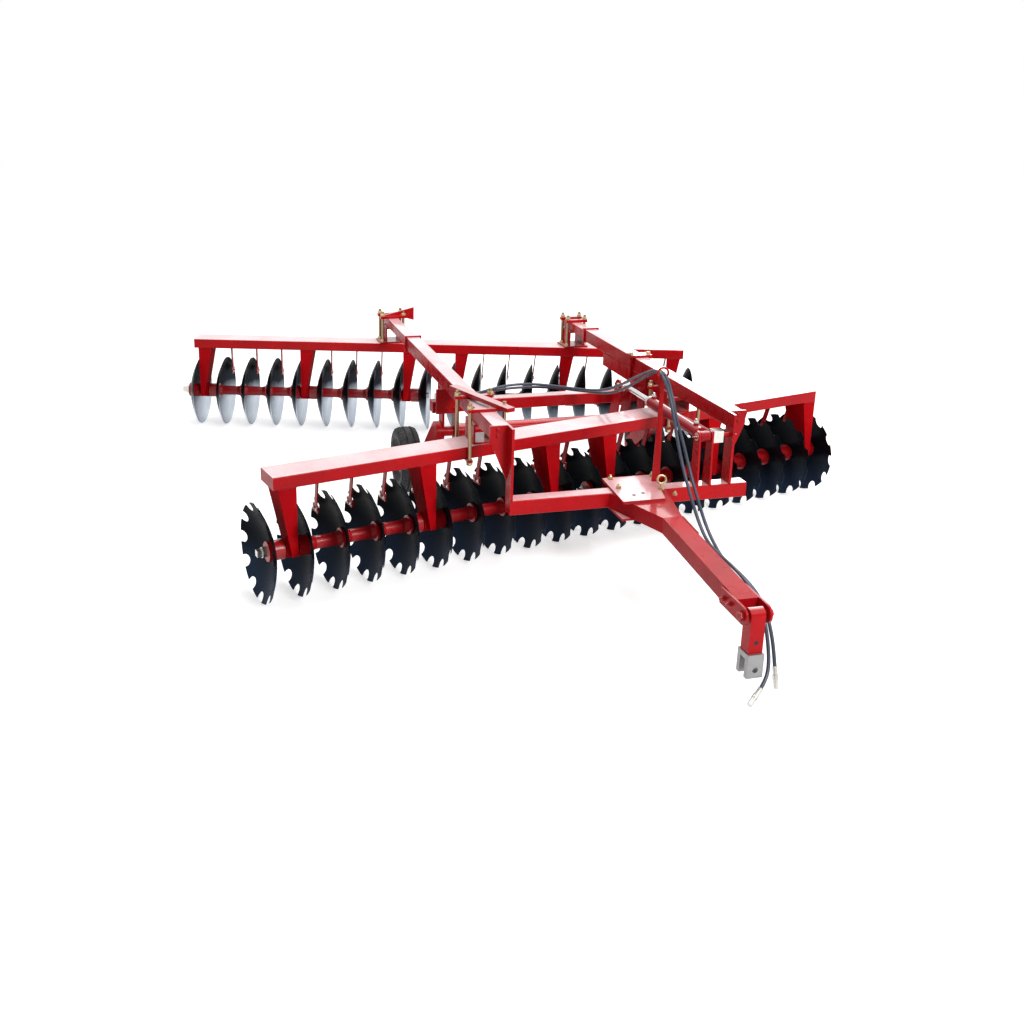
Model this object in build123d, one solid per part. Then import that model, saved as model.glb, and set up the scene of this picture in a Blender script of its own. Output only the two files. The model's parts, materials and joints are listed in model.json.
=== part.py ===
from build123d import *
import os
from math import pi, radians, tan

# Trailed offset disc harrow in millimetres, +Z up.
# The drawbar points along -Y, and +X is to the right of somebody who faces the machine from the front.
# Every place below is measured from the ground under the first hub of the front row.

# Discs and gangs
DISC_RADIUS = 305
DISC_THICKNESS = 6
DISH_DEPTH = 85
DISH_SAG = 0.36
FLAT_RADIUS = 62
NOTCHES = 12
NOTCH_RADIUS = 38
NOTCH_DEPTH = 50
DISC_PITCH = 230
DISCS_PER_GANG = 10
SHAFT_SIDE = 40
SQUARE_HOLE_GAP = 1
SPOOL_WAIST_RADIUS = 41
SPOOL_FLANGE = 13
SPOOL_NECK = dict(length=4, radius=48)
SPOOL_TAPER = 46
JOURNAL_RADIUS = 35
BEARING_GAP = 0.1
HOUSING_RADIUS = 60
HOUSING_LENGTH = 76
HOUSING_END_GAP = 6
END_WASHER = 26
NUT_ACROSS_FLATS = 62
NUT_LENGTH = 30
SHAFT_END = 92

# Rows: angle about Z, first hub, side the dish opens to, ends of the beam, disc without a scraper
ROWS = {
    "front": dict(angle=14.3, x=0, y=0, side=-1, start=-10, end=4266, bare=1, notched=True),
    "rear": dict(angle=-17.3, x=-364, y=3787, side=1, start=62, end=4375, bare=20, notched=False),
}
GANG_BEAM_WIDTH = 220
GANG_BEAM_HEIGHT = 80
GANG_BEAM_TOP = 2 * DISC_RADIUS + 190
TUBE_CORNER = 8

# Hangers: one after the first, fifth and ninth disc of every gang
HANGER_AFTER = (1, 5, 9)
HANGER_TOP_WIDTH = 114
HANGER_TIP_WIDTH = 38
HANGER_TIP_DROP = 24
HANGER_PLATE = 12
HANGER_HALF_DEPTH = 102
HANGER_WEB_FOOT = 36

# Scrapers
SCRAPER_WIDTH = 36
SCRAPER_THICKNESS = 9
SCRAPER_TOP = dict(x=118, y=92)
SCRAPER_FOOT = dict(x=100, y=DISC_RADIUS - 125, z=DISC_RADIUS + 160)
BLADE_LENGTH = 84
BLADE_HEIGHT = 50
BLADE_LAP = 8

# Main frame
FRAME_CENTRE = 2140
BEAM_WIDTH = 110
BEAM_SPACING = 1528
BEAM_TOP = GANG_BEAM_TOP + 230
BEAM_HEIGHT = 100
BEAM_FRONT = -100
BEAM_REAR = 2370
COLLAR_RISE = 12
COLLAR_LENGTH = 24
SLIDE_WIDTH = 98
SLIDE_HEIGHT = 76
SLIDE_OVERHANG = 105
CROSS_TUBE = dict(behind_bracket=120, width=100, top=780, height=85)
CROSS_BLOCK = dict(inset=30, shorter=12)
CROSS_STRAP = dict(reach=26, width=90, rod=11, nut=12)
PORTAL_TUBE = dict(front=-200, width=100, top=580, height=95, beyond=16)
POST_PLATE = 16
POST_GUSSET = dict(overhang=16, deep=86, taper=350)

# Clamps that hold the two long beams on the gang beams
CLAMP_PLATE = 15
CLAMP_WIDTH = 256
CLAMP_LENGTH = 350
CLAMP_BAR = dict(width=34, height=20)
CLAMP_ROD_RADIUS = 12
CLAMP_ROD_END = 38
CLAMP_STRAP_WIDTH = 36
DIAGONAL = dict(start=(-96, 330), end=(118, -270), width=58, thickness=26)
SADDLE_WIDTH = 140
SADDLE_LENGTH = 200
SADDLE_WALL = 12
REAR_FLANGE = dict(beyond_rod=28, half_length=100)
REAR_BAR = dict(y=66, width=40, height=24, beyond_rod=20)
REAR_ROD_X = dict(left=92, right=76)
RAISED_PLATE = dict(reach=184, rise=68, drop=20, thickness=20)

# Wheels and the rocker that carries them
TYRE_RADIUS = 250
TYRE_WIDTH = 160
TYRE_BEAD = 40
TYRE_SHOULDER = dict(inset=18, drop=12)
TYRE_GROOVE = dict(inner=18, outer=36, slope=5, depth=12)
RIM_RADIUS = TYRE_RADIUS - 118
RIM_EDGE = dict(lip=4, depth=14, dish=26)
HUB = dict(half=75, radius=46, outer_radius=40, web=8)
AXLE_END = dict(gap=5, shoulder=34, cap=14)
WHEEL_Y = 1620
WHEEL_OFFSET = 975
ROCKER_Y = 1180
ROCKER_Z = 596
ROCKER_RADIUS = 51
ROCKER_SHOULDER_GAP = 14
ROCKER_JOURNAL = 35
ROCKER_GAP = 0.1
ARM_WIDTH = 40
ARM_RADII = dict(rocker=78, wheel=52)
ARM_GAP = 5
AXLE_RADIUS = 22
AXLE_GAP = 0.1
BRACKET_PLATE = 16
BRACKET_DEPTH = 100
BRACKET_FLARE = 10
BRACKET_BOSS = 62
BRACKET_RAIL = dict(length=750, height=100)
BRACKET_FRONT = dict(wing=50, height=180)
BRACKET_BRIDGE = dict(length=30, height=90)

# Lifting cylinder between the mast on the portal tube and the crank on the rocker
MAST_X = 2680
MAST_GAP = 74
MAST_PLATE = 12
MAST_PIN = (-150, 890)
CRANK_PIN = (1100, 890)
PIN_RADIUS = 15
PIN_GAP = 0.1
CRANK_SLOT = dict(radius=18.5, low=(-0.2, -12.6), high=(-0.2, 15.2))
CRANK_END_RADIUS = 44
CRANK_ROOT_RADIUS = 75
MAST_TOP_RADIUS = 36
PIN_END = 14
EYE_RADIUS = 32
EYE_GAP = 5
BARREL_NECK = 24
BARREL_BASE = 40
BARREL_RADIUS = 38
BARREL_LENGTH = 760
BARREL_START = 46
PISTON_RADIUS = 20
ROD_INSIDE = 300

# Stay beside the cylinder, from the mast pin to the cross tube
STAY_X = 2762
STAY_RADIUS = 14
STAY_BLOCK = dict(width=64, depth=70, height=75)
STAY_LUG = dict(plate=12, half=45, rise=45)

# Drawbar and hitch
DRAWBAR_X = 2260
DRAWBAR_WIDTH = 120
DRAWBAR_BASE = (-210, 160)
DRAWBAR_BEND = -640
DRAWBAR_END = -1520
CHEEK_LENGTH = 230
HITCH_PIVOT = (-1600, 440)
HITCH_BOSS = 48
CHEEK_STEP = dict(above=7, below=10)
HITCH_PIN_END = 22
CHEEK_PLATE = 12
TONGUE_WIDTH = 80
TONGUE_DEPTH = 76
TONGUE_LENGTH = 200
CLEVIS = dict(width=90, depth=104, height=130, slot=48, crown=30, bore=85)
HITCH_BORE = 16
TOP_PLATE = dict(front=-390, rear=20, reach=(70, 180), lead=(-200, -170), thickness=16)
UNDER_PLATE = dict(front=-390, rear=-70, reach=(140, 180), lead=(-200, -200), thickness=14)

# Hoses, their stand and their ends; each route runs from the coupler over the stand to its port
HOSE_RADIUS = 10
COUPLER = dict(radius=13, collar=16, length=70, collar_length=26)
PORT_BLOCK = dict(left=1436, width=40, length=72, height=52)
PORT = dict(radius=12, length=30, spread=34, rise=30, overlap=2)
HOSES = {
    "left": [(2252, -1702, 46), (2300, -1672, 73), (2350, -1632, 125), (2368, -1585, 222),
             (2368, -1530, 345), (2362, -1450, 435), (2360, -1330, 482), (2368, -1150, 494),
             (2386, -950, 480), (2428, -755, 462), (2460, -590, 500), (2467, -455, 605),
             (2456, -350, 750), (2430, -295, 915), (2406, -262, 1080), (2392, -198, 1222),
             (2389, -95, 1298), (2398, 35, 1282), (2412, 200, 1215), (2430, 400, 1132),
             (2448, 610, 1038), (2452, 820, 948), (2438, 1015, 882), (2372, 1195, 848),
             (2245, 1322, 844), (2070, 1382, 858), (1880, 1390, 856), (1710, 1372, 828),
             (1600, 1343, 810), (1506, 1343, 810)],
    "right": [(2405, -1610, 88), (2409, -1583, 156), (2408, -1545, 260), (2402, -1480, 375),
              (2392, -1375, 446), (2394, -1190, 468), (2412, -975, 452), (2478, -760, 434),
              (2510, -588, 472), (2518, -445, 582), (2506, -335, 732), (2478, -276, 900),
              (2430, -240, 1068), (2415, -186, 1212), (2411, -95, 1298), (2422, 32, 1278),
              (2440, 200, 1202), (2460, 400, 1110), (2480, 612, 1008), (2486, 828, 916),
              (2472, 1035, 856), (2402, 1225, 826), (2268, 1362, 818), (2085, 1420, 824),
              (1890, 1426, 820), (1715, 1408, 810), (1605, 1377, 810), (1506, 1377, 810)],
}
STAND = (2400, -95)
STAND_TOP = 1260
STAND_WIDTH = (52, 18)
STAND_THICKNESS = 10
STAND_RING = (34, 7)


def block(x0, x1, y0, y1, z0, z1):
    """A box between two corners."""
    centre = Pos((x0 + x1) / 2, (y0 + y1) / 2, (z0 + z1) / 2)
    return centre * Box(x1 - x0, y1 - y0, z1 - z0)


def tube_along(axis, solid):
    """The same bar with its long edges rounded."""
    return fillet(solid.edges().filter_by(axis), TUBE_CORNER)


def profile_x(points, x0, x1):
    """A polygon of (y, z) points, extruded from x0 to x1."""
    face = Plane.YZ.offset(x0) * make_face(Polyline(*points, close=True))
    return extrude(face, amount=x1 - x0, dir=(1, 0, 0))


def profile_y(points, y0, thickness):
    """A polygon of (x, z) points, extruded to the rear from y0."""
    face = Plane.XZ.offset(-y0) * make_face(Polyline(*points, close=True))
    return extrude(face, amount=thickness, dir=(0, 1, 0))


def profile_z(points, z0, z1):
    """A polygon of (x, y) points, extruded from z0 to z1."""
    face = Plane.XY.offset(z0) * make_face(Polyline(*points, close=True))
    return extrude(face, amount=z1 - z0, dir=(0, 0, 1))


def round_x(x0, x1, y, z, radius):
    """A round bar along X."""
    bar = Cylinder(radius, x1 - x0)
    return Pos((x0 + x1) / 2, y, z) * Rot(0, 90, 0) * bar


def turned_x(points):
    """A (distance along X, radius) polygon, turned about X."""
    face = make_face(Polyline(*points, close=True))
    return revolve(face, axis=Axis.X)


def row_place(row):
    """Moves a row's own frame (X along the gang, Y to the rear) to its place."""
    return Location((row["x"], row["y"], 0), (0, 0, row["angle"]))


def row_axis_y(row, x):
    """The Y of a row's disc axis at a given X."""
    return row["y"] + (x - row["x"]) * tan(radians(row["angle"]))


def dished_disc(notched):
    """One disc about X, its dish open towards +X, with the square hole of the gang shaft."""
    half = DISC_THICKNESS / 2
    middle = (FLAT_RADIUS + DISC_RADIUS) / 2
    sag = DISH_DEPTH * DISH_SAG
    inner = [(half, FLAT_RADIUS), (half + sag, middle), (half + DISH_DEPTH, DISC_RADIUS)]
    outer = [(x - DISC_THICKNESS, r) for x, r in inner]
    edge = Line((half, 0), (half, FLAT_RADIUS))
    edge += ThreePointArc(*inner)
    edge += Line(inner[2], outer[2])
    edge += ThreePointArc(outer[2], outer[1], outer[0])
    edge += Polyline(outer[0], (-half, 0), (half, 0))
    disc = revolve(make_face(edge), axis=Axis.X)
    hole = SHAFT_SIDE + SQUARE_HOLE_GAP
    disc -= Box(4 * DISC_THICKNESS, hole, hole)
    if notched:
        root = DISC_RADIUS - NOTCH_DEPTH + NOTCH_RADIUS
        notch = Pos(0, 0, root) * Rot(0, 90, 0) * Cylinder(NOTCH_RADIUS, 4 * DISH_DEPTH)
        notch += Pos(0, 0, root + NOTCH_DEPTH / 2) * Box(4 * DISH_DEPTH, 2 * NOTCH_RADIUS, NOTCH_DEPTH)
        for turn in range(NOTCHES):
            angle = 360 * turn / NOTCHES
            disc -= Rot(angle, 0, 0) * notch
    return disc


def hanger_centre(number):
    """Distance along the row of the hanger that stands halfway to the next disc."""
    return (number - 0.5) * DISC_PITCH


def gang_shaft(row, first):
    """Square shaft with the spools, the journals, the end washers and the nuts of one gang."""
    half = DISC_THICKNESS / 2
    start = (first - 1) * DISC_PITCH
    end = start + (DISCS_PER_GANG - 1) * DISC_PITCH
    middle = (start + end) / 2
    shaft = Pos(middle, 0, 0) * Box(end - start + 2 * SHAFT_END, SHAFT_SIDE, SHAFT_SIDE)
    nut = Rot(0, 90, 0) * extrude(RegularPolygon(NUT_ACROSS_FLATS / 2, 6, major_radius=False), NUT_LENGTH)
    washer = Rot(0, 90, 0) * Cylinder(FLAT_RADIUS, END_WASHER)
    pieces = []
    for hub, outward in ((start, -1), (end, 1)):
        pieces.append(Pos(hub + outward * (half + END_WASHER / 2), 0, 0) * washer)
        nut_start = hub + outward * (half + END_WASHER)
        pieces.append(Pos(min(nut_start, nut_start + outward * NUT_LENGTH), 0, 0) * nut)
    for place in range(1, DISCS_PER_GANG):
        hub = start + (place - 1) * DISC_PITCH
        left = hub + half
        right = hub + DISC_PITCH - half
        if place in HANGER_AFTER:
            centre = hanger_centre(first + place - 1)
            reach = HOUSING_LENGTH / 2 + HOUSING_END_GAP
            outline = [(left, 0), (left, FLAT_RADIUS), (centre - reach, FLAT_RADIUS),
                       (centre - reach, JOURNAL_RADIUS), (centre + reach, JOURNAL_RADIUS),
                       (centre + reach, FLAT_RADIUS), (right, FLAT_RADIUS), (right, 0)]
        else:
            neck = SPOOL_FLANGE + SPOOL_NECK["length"]
            outline = [(left, 0), (left, FLAT_RADIUS), (left + SPOOL_FLANGE, FLAT_RADIUS),
                       (left + neck, SPOOL_NECK["radius"]), (left + SPOOL_TAPER, SPOOL_WAIST_RADIUS),
                       (right - SPOOL_TAPER, SPOOL_WAIST_RADIUS), (right - neck, SPOOL_NECK["radius"]),
                       (right - SPOOL_FLANGE, FLAT_RADIUS), (right, FLAT_RADIUS), (right, 0)]
        pieces.append(turned_x(outline))
    return Pos(0, 0, DISC_RADIUS) * (shaft + pieces)


def hanger(row, number):
    """Face plate with one slanting edge, the web along that edge and the bearing housing."""
    centre = hanger_centre(number)
    side = row["side"]
    top = GANG_BEAM_TOP - GANG_BEAM_HEIGHT
    tip = DISC_RADIUS - HANGER_TIP_DROP
    straight = centre - side * HANGER_TIP_WIDTH / 2
    slant_low = centre + side * HANGER_TIP_WIDTH / 2
    slant_high = straight + side * HANGER_TOP_WIDTH
    face = profile_y([(straight, tip), (slant_low, tip), (slant_high, top), (straight, top)],
                     -HANGER_HALF_DEPTH, HANGER_PLATE)
    inward = -side * HANGER_PLATE
    strip = profile_y([(slant_low, tip), (slant_high, top), (slant_high + inward, top), (slant_low + inward, tip)],
                      -HANGER_HALF_DEPTH, 2 * HANGER_HALF_DEPTH)
    outline = profile_x([(-HANGER_HALF_DEPTH, tip), (-HANGER_HALF_DEPTH, top), (HANGER_HALF_DEPTH, top),
                         (HANGER_WEB_FOOT, tip)], centre - HANGER_TOP_WIDTH, centre + HANGER_TOP_WIDTH)
    half = HOUSING_LENGTH / 2
    housing = round_x(centre - half, centre + half, 0, DISC_RADIUS, HOUSING_RADIUS)
    bore = round_x(centre - half, centre + half, 0, DISC_RADIUS, JOURNAL_RADIUS + BEARING_GAP)
    return face + (strip & outline) + housing - bore


def scraper(row, number):
    """Flat arm from under the gang beam to a blade at the hollow face of a disc."""
    hub = (number - 1) * DISC_PITCH
    side = row["side"]
    top = Vector(hub + side * SCRAPER_TOP["x"], SCRAPER_TOP["y"], GANG_BEAM_TOP - GANG_BEAM_HEIGHT)
    foot = Vector(hub + side * SCRAPER_FOOT["x"], SCRAPER_FOOT["y"], SCRAPER_FOOT["z"])
    along = foot - top
    sections = [Plane(origin=point, x_dir=(1, 0, 0), z_dir=(0, 0, -1))
                * Rectangle(SCRAPER_THICKNESS, SCRAPER_WIDTH) for point in (top, foot)]
    arm = loft(sections)
    blade_centre = foot + along.normalized() * (BLADE_HEIGHT / 2 - BLADE_LAP)
    blade = Box(SCRAPER_THICKNESS, BLADE_LENGTH, BLADE_HEIGHT)
    return arm + Pos(*blade_centre) * blade


def gang_beam(row):
    """The tube across all the discs of a row."""
    half = GANG_BEAM_WIDTH / 2
    bar = block(row["start"], row["end"], -half, half, GANG_BEAM_TOP - GANG_BEAM_HEIGHT, GANG_BEAM_TOP)
    return tube_along(Axis.X, bar)


def saddle(x, y, top):
    """Open box section between a gang beam and a long beam."""
    half = SADDLE_LENGTH / 2
    outer = block(x - SADDLE_WIDTH / 2, x + SADDLE_WIDTH / 2, y - half, y + half, GANG_BEAM_TOP, top)
    inner_half = SADDLE_WIDTH / 2 - SADDLE_WALL
    return outer - block(x - inner_half, x + inner_half, y - half - 1, y + half + 1,
                         GANG_BEAM_TOP + SADDLE_WALL, top - SADDLE_WALL)


def front_clamp(x, y, over):
    """Saddle, cross bars over or under the long beam, straps under the gang beam and four rods."""
    under = GANG_BEAM_TOP - GANG_BEAM_HEIGHT
    half_y = CLAMP_LENGTH / 2
    half_x = CLAMP_WIDTH / 2
    strap_half = CLAMP_STRAP_WIDTH / 2
    bar_half = CLAMP_BAR["width"] / 2
    bar_low = BEAM_TOP if over else BEAM_TOP - BEAM_HEIGHT - CLAMP_BAR["height"]
    bar_top = bar_low + CLAMP_BAR["height"]
    rod_x = half_x - strap_half
    rod_y = half_y - bar_half
    rod_height = bar_top - under + 2 * CLAMP_ROD_END
    pieces = []
    for side_y in (-1, 1):
        centre = y + side_y * rod_y
        pieces.append(block(x - half_x, x + half_x, centre - bar_half, centre + bar_half, bar_low, bar_top))
    for side_x in (-1, 1):
        centre = x + side_x * rod_x
        pieces.append(block(centre - strap_half, centre + strap_half, y - half_y, y + half_y,
                            under - CLAMP_PLATE, under))
        for side_y in (-1, 1):
            place = Pos(centre, y + side_y * rod_y, (bar_top + under) / 2)
            pieces.append(place * Cylinder(CLAMP_ROD_RADIUS, rod_height))
    if over:
        pieces.append(diagonal_bar(x, y, bar_top))
    return [saddle(x, y, BEAM_TOP - BEAM_HEIGHT), pieces[0] + pieces[1:]]


def diagonal_bar(x, y, z):
    """Flat bar that lies across the cross bars of the left front clamp."""
    start = Vector(x + DIAGONAL["start"][0], y + DIAGONAL["start"][1], z)
    end = Vector(x + DIAGONAL["end"][0], y + DIAGONAL["end"][1], z)
    along = end - start
    plane = Plane(origin=(start + end) / 2, x_dir=along.normalized(), z_dir=(0, 0, 1))
    return extrude(plane * Rectangle(along.length, DIAGONAL["width"]), amount=DIAGONAL["thickness"])


def rear_clamp(x, y, raised):
    """Flange and box on the gang beam, cross bars over the slide and the bolts between them."""
    lower = GANG_BEAM_TOP + CLAMP_PLATE
    slide_top = slide_z()[1]
    rod_x = REAR_ROD_X["left" if raised else "right"]
    half_x, half_y = rod_x + REAR_FLANGE["beyond_rod"], REAR_FLANGE["half_length"]
    bar_reach = rod_x + REAR_BAR["beyond_rod"]
    bar_top = slide_top + REAR_BAR["height"]
    body = block(x - half_x, x + half_x, y - half_y, y + half_y, GANG_BEAM_TOP, lower)
    pieces = [saddle(x, y, slide_z()[0])]
    for side_y in (-1, 1):
        centre = y + side_y * REAR_BAR["y"]
        half = REAR_BAR["width"] / 2
        pieces.append(block(x - bar_reach, x + bar_reach, centre - half, centre + half, slide_top, bar_top))
        for side_x in (-1, 1):
            rod = Cylinder(CLAMP_ROD_RADIUS, bar_top - lower + CLAMP_ROD_END)
            place = Pos(x + side_x * rod_x, centre, (bar_top + lower + CLAMP_ROD_END) / 2)
            pieces.append(place * rod)
    if raised:
        reach = RAISED_PLATE["reach"]
        points = [(x - bar_reach, bar_top), (x + reach, bar_top + RAISED_PLATE["rise"]),
                  (x + reach, slide_top - RAISED_PLATE["drop"]), (x + bar_reach, slide_top)]
        thickness = RAISED_PLATE["thickness"]
        pieces.append(profile_y(points, y - REAR_BAR["y"] - thickness / 2, thickness))
    return [body + pieces]


def beam_x(side):
    """Left edge and right edge of a long beam, side -1 is the left one."""
    centre = FRAME_CENTRE + side * BEAM_SPACING / 2
    return centre - BEAM_WIDTH / 2, centre + BEAM_WIDTH / 2


def slide_z():
    """Bottom and top of the slides that lead from the long beams to the rear row."""
    middle = BEAM_TOP - BEAM_HEIGHT / 2
    return middle - SLIDE_HEIGHT / 2, middle + SLIDE_HEIGHT / 2


def long_beam(side):
    """One of the two beams over the rows, with a collar at its rear end."""
    x0, x1 = beam_x(side)
    bar = tube_along(Axis.Y, block(x0, x1, BEAM_FRONT, BEAM_REAR, BEAM_TOP - BEAM_HEIGHT, BEAM_TOP))
    collar = block(x0 - COLLAR_RISE, x1 + COLLAR_RISE, BEAM_REAR - COLLAR_LENGTH, BEAM_REAR,
                   BEAM_TOP - BEAM_HEIGHT - COLLAR_RISE, BEAM_TOP + COLLAR_RISE)
    return bar + collar


def rear_slide(side):
    """Narrower tube from the end of a long beam to the rear gang beam."""
    middle = sum(beam_x(side)) / 2
    rear = row_axis_y(ROWS["rear"], middle) + SLIDE_OVERHANG
    bar = block(middle - SLIDE_WIDTH / 2, middle + SLIDE_WIDTH / 2, BEAM_REAR, rear, *slide_z())
    return tube_along(Axis.Y, bar)


def cross_tube_y():
    """Middle of the cross tube, behind the brackets of the rocker."""
    return ROCKER_Y + BRACKET_DEPTH / 2 + BRACKET_FLARE + CROSS_TUBE["behind_bracket"]


def cross_tube():
    """The tube under the long beams."""
    half = CROSS_TUBE["width"] / 2
    y = cross_tube_y()
    left = beam_x(-1)[0] - CROSS_STRAP["reach"]
    right = beam_x(1)[1] + CROSS_STRAP["reach"]
    bar = block(left, right, y - half, y + half, CROSS_TUBE["top"] - CROSS_TUBE["height"], CROSS_TUBE["top"])
    return tube_along(Axis.X, bar)


def cross_tube_blocks():
    """Blocks between the cross tube and the long beams, and the strap over the right beam."""
    y = cross_tube_y()
    base = CROSS_TUBE["top"]
    half = CROSS_TUBE["width"] / 2 - CROSS_BLOCK["shorter"]
    blocks = []
    for side in (-1, 1):
        left, right = beam_x(side)
        blocks.append(block(left + CROSS_BLOCK["inset"], right - CROSS_BLOCK["inset"], y - half, y + half,
                            base, BEAM_TOP - BEAM_HEIGHT))
    reach = CROSS_STRAP["reach"]
    half = CROSS_STRAP["width"] / 2
    strap_top = BEAM_TOP + CLAMP_BAR["height"]
    rod_top = strap_top + CROSS_STRAP["nut"]
    cover = block(left - reach, right + reach, y - half, y + half, BEAM_TOP, strap_top)
    for rod_x in (left - reach / 2, right + reach / 2):
        cover += Pos(rod_x, y, (base + rod_top) / 2) * Cylinder(CROSS_STRAP["rod"], rod_top - base)
    return blocks + [cover]


def portal_tube():
    """The low tube across the front, which carries the drawbar and the mast."""
    front = PORTAL_TUBE["front"]
    bar = block(beam_x(-1)[1] - POST_PLATE, beam_x(1)[1] + PORTAL_TUBE["beyond"], front,
                front + PORTAL_TUBE["width"], PORTAL_TUBE["top"] - PORTAL_TUBE["height"], PORTAL_TUBE["top"])
    return tube_along(Axis.X, bar)


def portal_post(side):
    """Flange from the portal tube up to a long beam, and the tapered plate on the beam's end."""
    edges = beam_x(side)
    inner = edges[1] if side < 0 else edges[0]
    outer = edges[0] if side < 0 else edges[1]
    bottom = PORTAL_TUBE["top"]
    front = PORTAL_TUBE["front"]
    rear = front + PORTAL_TUBE["width"]
    x0, x1 = sorted((inner, inner + side * POST_PLATE))
    flange = block(x0, x1, front, rear, bottom, BEAM_TOP)
    overhang = outer + side * POST_GUSSET["overhang"]
    points = [(inner, BEAM_TOP), (overhang, BEAM_TOP), (overhang, BEAM_TOP - POST_GUSSET["deep"]),
              (inner + side * POST_PLATE, BEAM_TOP - POST_GUSSET["taper"]),
              (inner + side * POST_PLATE, bottom), (inner, bottom)]
    post = flange + profile_y(points, rear - MAST_PLATE, MAST_PLATE)
    if side > 0:
        post -= round_x(x0, x1, *MAST_PIN, PIN_RADIUS)
    return post


def rocker_bracket(side):
    """Two plates under a long beam with the bearing of the rocker shaft."""
    x0, x1 = beam_x(side)
    top = BEAM_TOP - BEAM_HEIGHT
    half = BRACKET_DEPTH / 2
    front, rear = ROCKER_Y - half - BRACKET_FLARE, ROCKER_Y + half + BRACKET_FLARE
    rail_end = ROCKER_Y + BRACKET_RAIL["length"]
    rail_low = top - BRACKET_RAIL["height"]
    leg = [(front, top), (ROCKER_Y - half, ROCKER_Z), (ROCKER_Y + half, ROCKER_Z)]
    with_rail = leg + [(rear, rail_low), (rail_end, rail_low), (rail_end, top)]
    plain = leg + [(rear, top)]
    inner_left = x1 - BRACKET_PLATE if side < 0 else x0
    bore = ROCKER_JOURNAL + ROCKER_GAP
    plates = []
    for left in (x0, x1 - BRACKET_PLATE):
        right = left + BRACKET_PLATE
        plate = profile_x(with_rail if left == inner_left else plain, left, right)
        plate += round_x(left, right, ROCKER_Y, ROCKER_Z, BRACKET_BOSS)
        plates.append(plate - round_x(left, right, ROCKER_Y, ROCKER_Z, bore))
    wing = BRACKET_FRONT["wing"]
    face_left, face_right = (x0 - wing, x1) if side < 0 else (x0, x1 + wing)
    face = block(face_left, face_right, front - MAST_PLATE, front, top - BRACKET_FRONT["height"], top)
    bridge = block(x0, x1, front, front + BRACKET_BRIDGE["length"], top - BRACKET_BRIDGE["height"], top)
    return plates[0] + plates[1] + face + bridge


def rocker_shaft():
    """The cross shaft of the wheels, with the journals that run in the brackets."""
    left = beam_x(-1)[1] + ROCKER_SHOULDER_GAP
    right = beam_x(1)[0] - ROCKER_SHOULDER_GAP
    shaft = round_x(beam_x(-1)[0] - ARM_GAP, beam_x(1)[1] + ARM_GAP, ROCKER_Y, ROCKER_Z, ROCKER_JOURNAL)
    return shaft + round_x(left, right, ROCKER_Y, ROCKER_Z, ROCKER_RADIUS)


def strap(x0, x1, start, start_radius, end, end_radius):
    """A flat link along (y, z) points with round ends."""
    a = Vector(0, *start)
    b = Vector(0, *end)
    along = (b - a).normalized()
    across = Vector(0, -along.Z, along.Y)
    corners = [a + across * start_radius, b + across * end_radius,
               b - across * end_radius, a - across * start_radius]
    body = profile_x([(p.Y, p.Z) for p in corners], x0, x1)
    return body + round_x(x0, x1, *start, start_radius) + round_x(x0, x1, *end, end_radius)


def wheel_arm(side):
    """Trailing arm at the end of the rocker, with the stub axle of its wheel."""
    inner = beam_x(side)[0 if side < 0 else 1] + side * ARM_GAP
    outer = inner + side * ARM_WIDTH
    x0, x1 = sorted((inner, outer))
    arm = strap(x0, x1, (ROCKER_Y, ROCKER_Z), ARM_RADII["rocker"], (WHEEL_Y, TYRE_RADIUS), ARM_RADII["wheel"])
    centre = FRAME_CENTRE + side * WHEEL_OFFSET
    reach = HUB["half"] + AXLE_END["gap"]
    end = centre + side * (reach + AXLE_END["cap"])
    stub = round_x(*sorted((outer, end)), WHEEL_Y, TYRE_RADIUS, AXLE_RADIUS)
    shoulder = round_x(*sorted((outer, centre - side * reach)), WHEEL_Y, TYRE_RADIUS, AXLE_END["shoulder"])
    cap = round_x(*sorted((centre + side * reach, end)), WHEEL_Y, TYRE_RADIUS, AXLE_END["shoulder"])
    return arm + stub + shoulder + cap


def crank():
    """Two levers on the rocker shaft, slotted for the pin at the end of the cylinder."""
    levers = []
    half = MAST_GAP / 2
    y, z = CRANK_PIN
    slot_low, slot_high = [(y + dy, z + dz) for dy, dz in (CRANK_SLOT["low"], CRANK_SLOT["high"])]
    slot_radius = CRANK_SLOT["radius"]
    for side in (-1, 1):
        x0, x1 = sorted((MAST_X + side * half, MAST_X + side * (half + MAST_PLATE)))
        lever = strap(x0, x1, (ROCKER_Y, ROCKER_Z), CRANK_ROOT_RADIUS, CRANK_PIN, CRANK_END_RADIUS)
        lever -= round_x(x0, x1, ROCKER_Y, ROCKER_Z, ROCKER_RADIUS)
        levers.append(lever - strap(x0, x1, slot_low, slot_radius, slot_high, slot_radius))
    return levers


def mast():
    """Two cheeks on the portal tube, with the pin at the cylinder's base."""
    half = MAST_GAP / 2
    base = PORTAL_TUBE["top"]
    front = PORTAL_TUBE["front"]
    y, z = MAST_PIN
    body = None
    for side in (-1, 1):
        x0, x1 = sorted((MAST_X + side * half, MAST_X + side * (half + MAST_PLATE)))
        cheek = profile_x([(front, base), (front + PORTAL_TUBE["width"], base),
                           (y + MAST_TOP_RADIUS, z), (y - MAST_TOP_RADIUS, z)], x0, x1)
        cheek += round_x(x0, x1, y, z, MAST_TOP_RADIUS)
        body = cheek if body is None else body + cheek
    pin_start = MAST_X - half - MAST_PLATE - PIN_END
    pin_end = beam_x(1)[0] + POST_PLATE + PIN_END
    return body + round_x(pin_start, pin_end, y, z, PIN_RADIUS)


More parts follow.
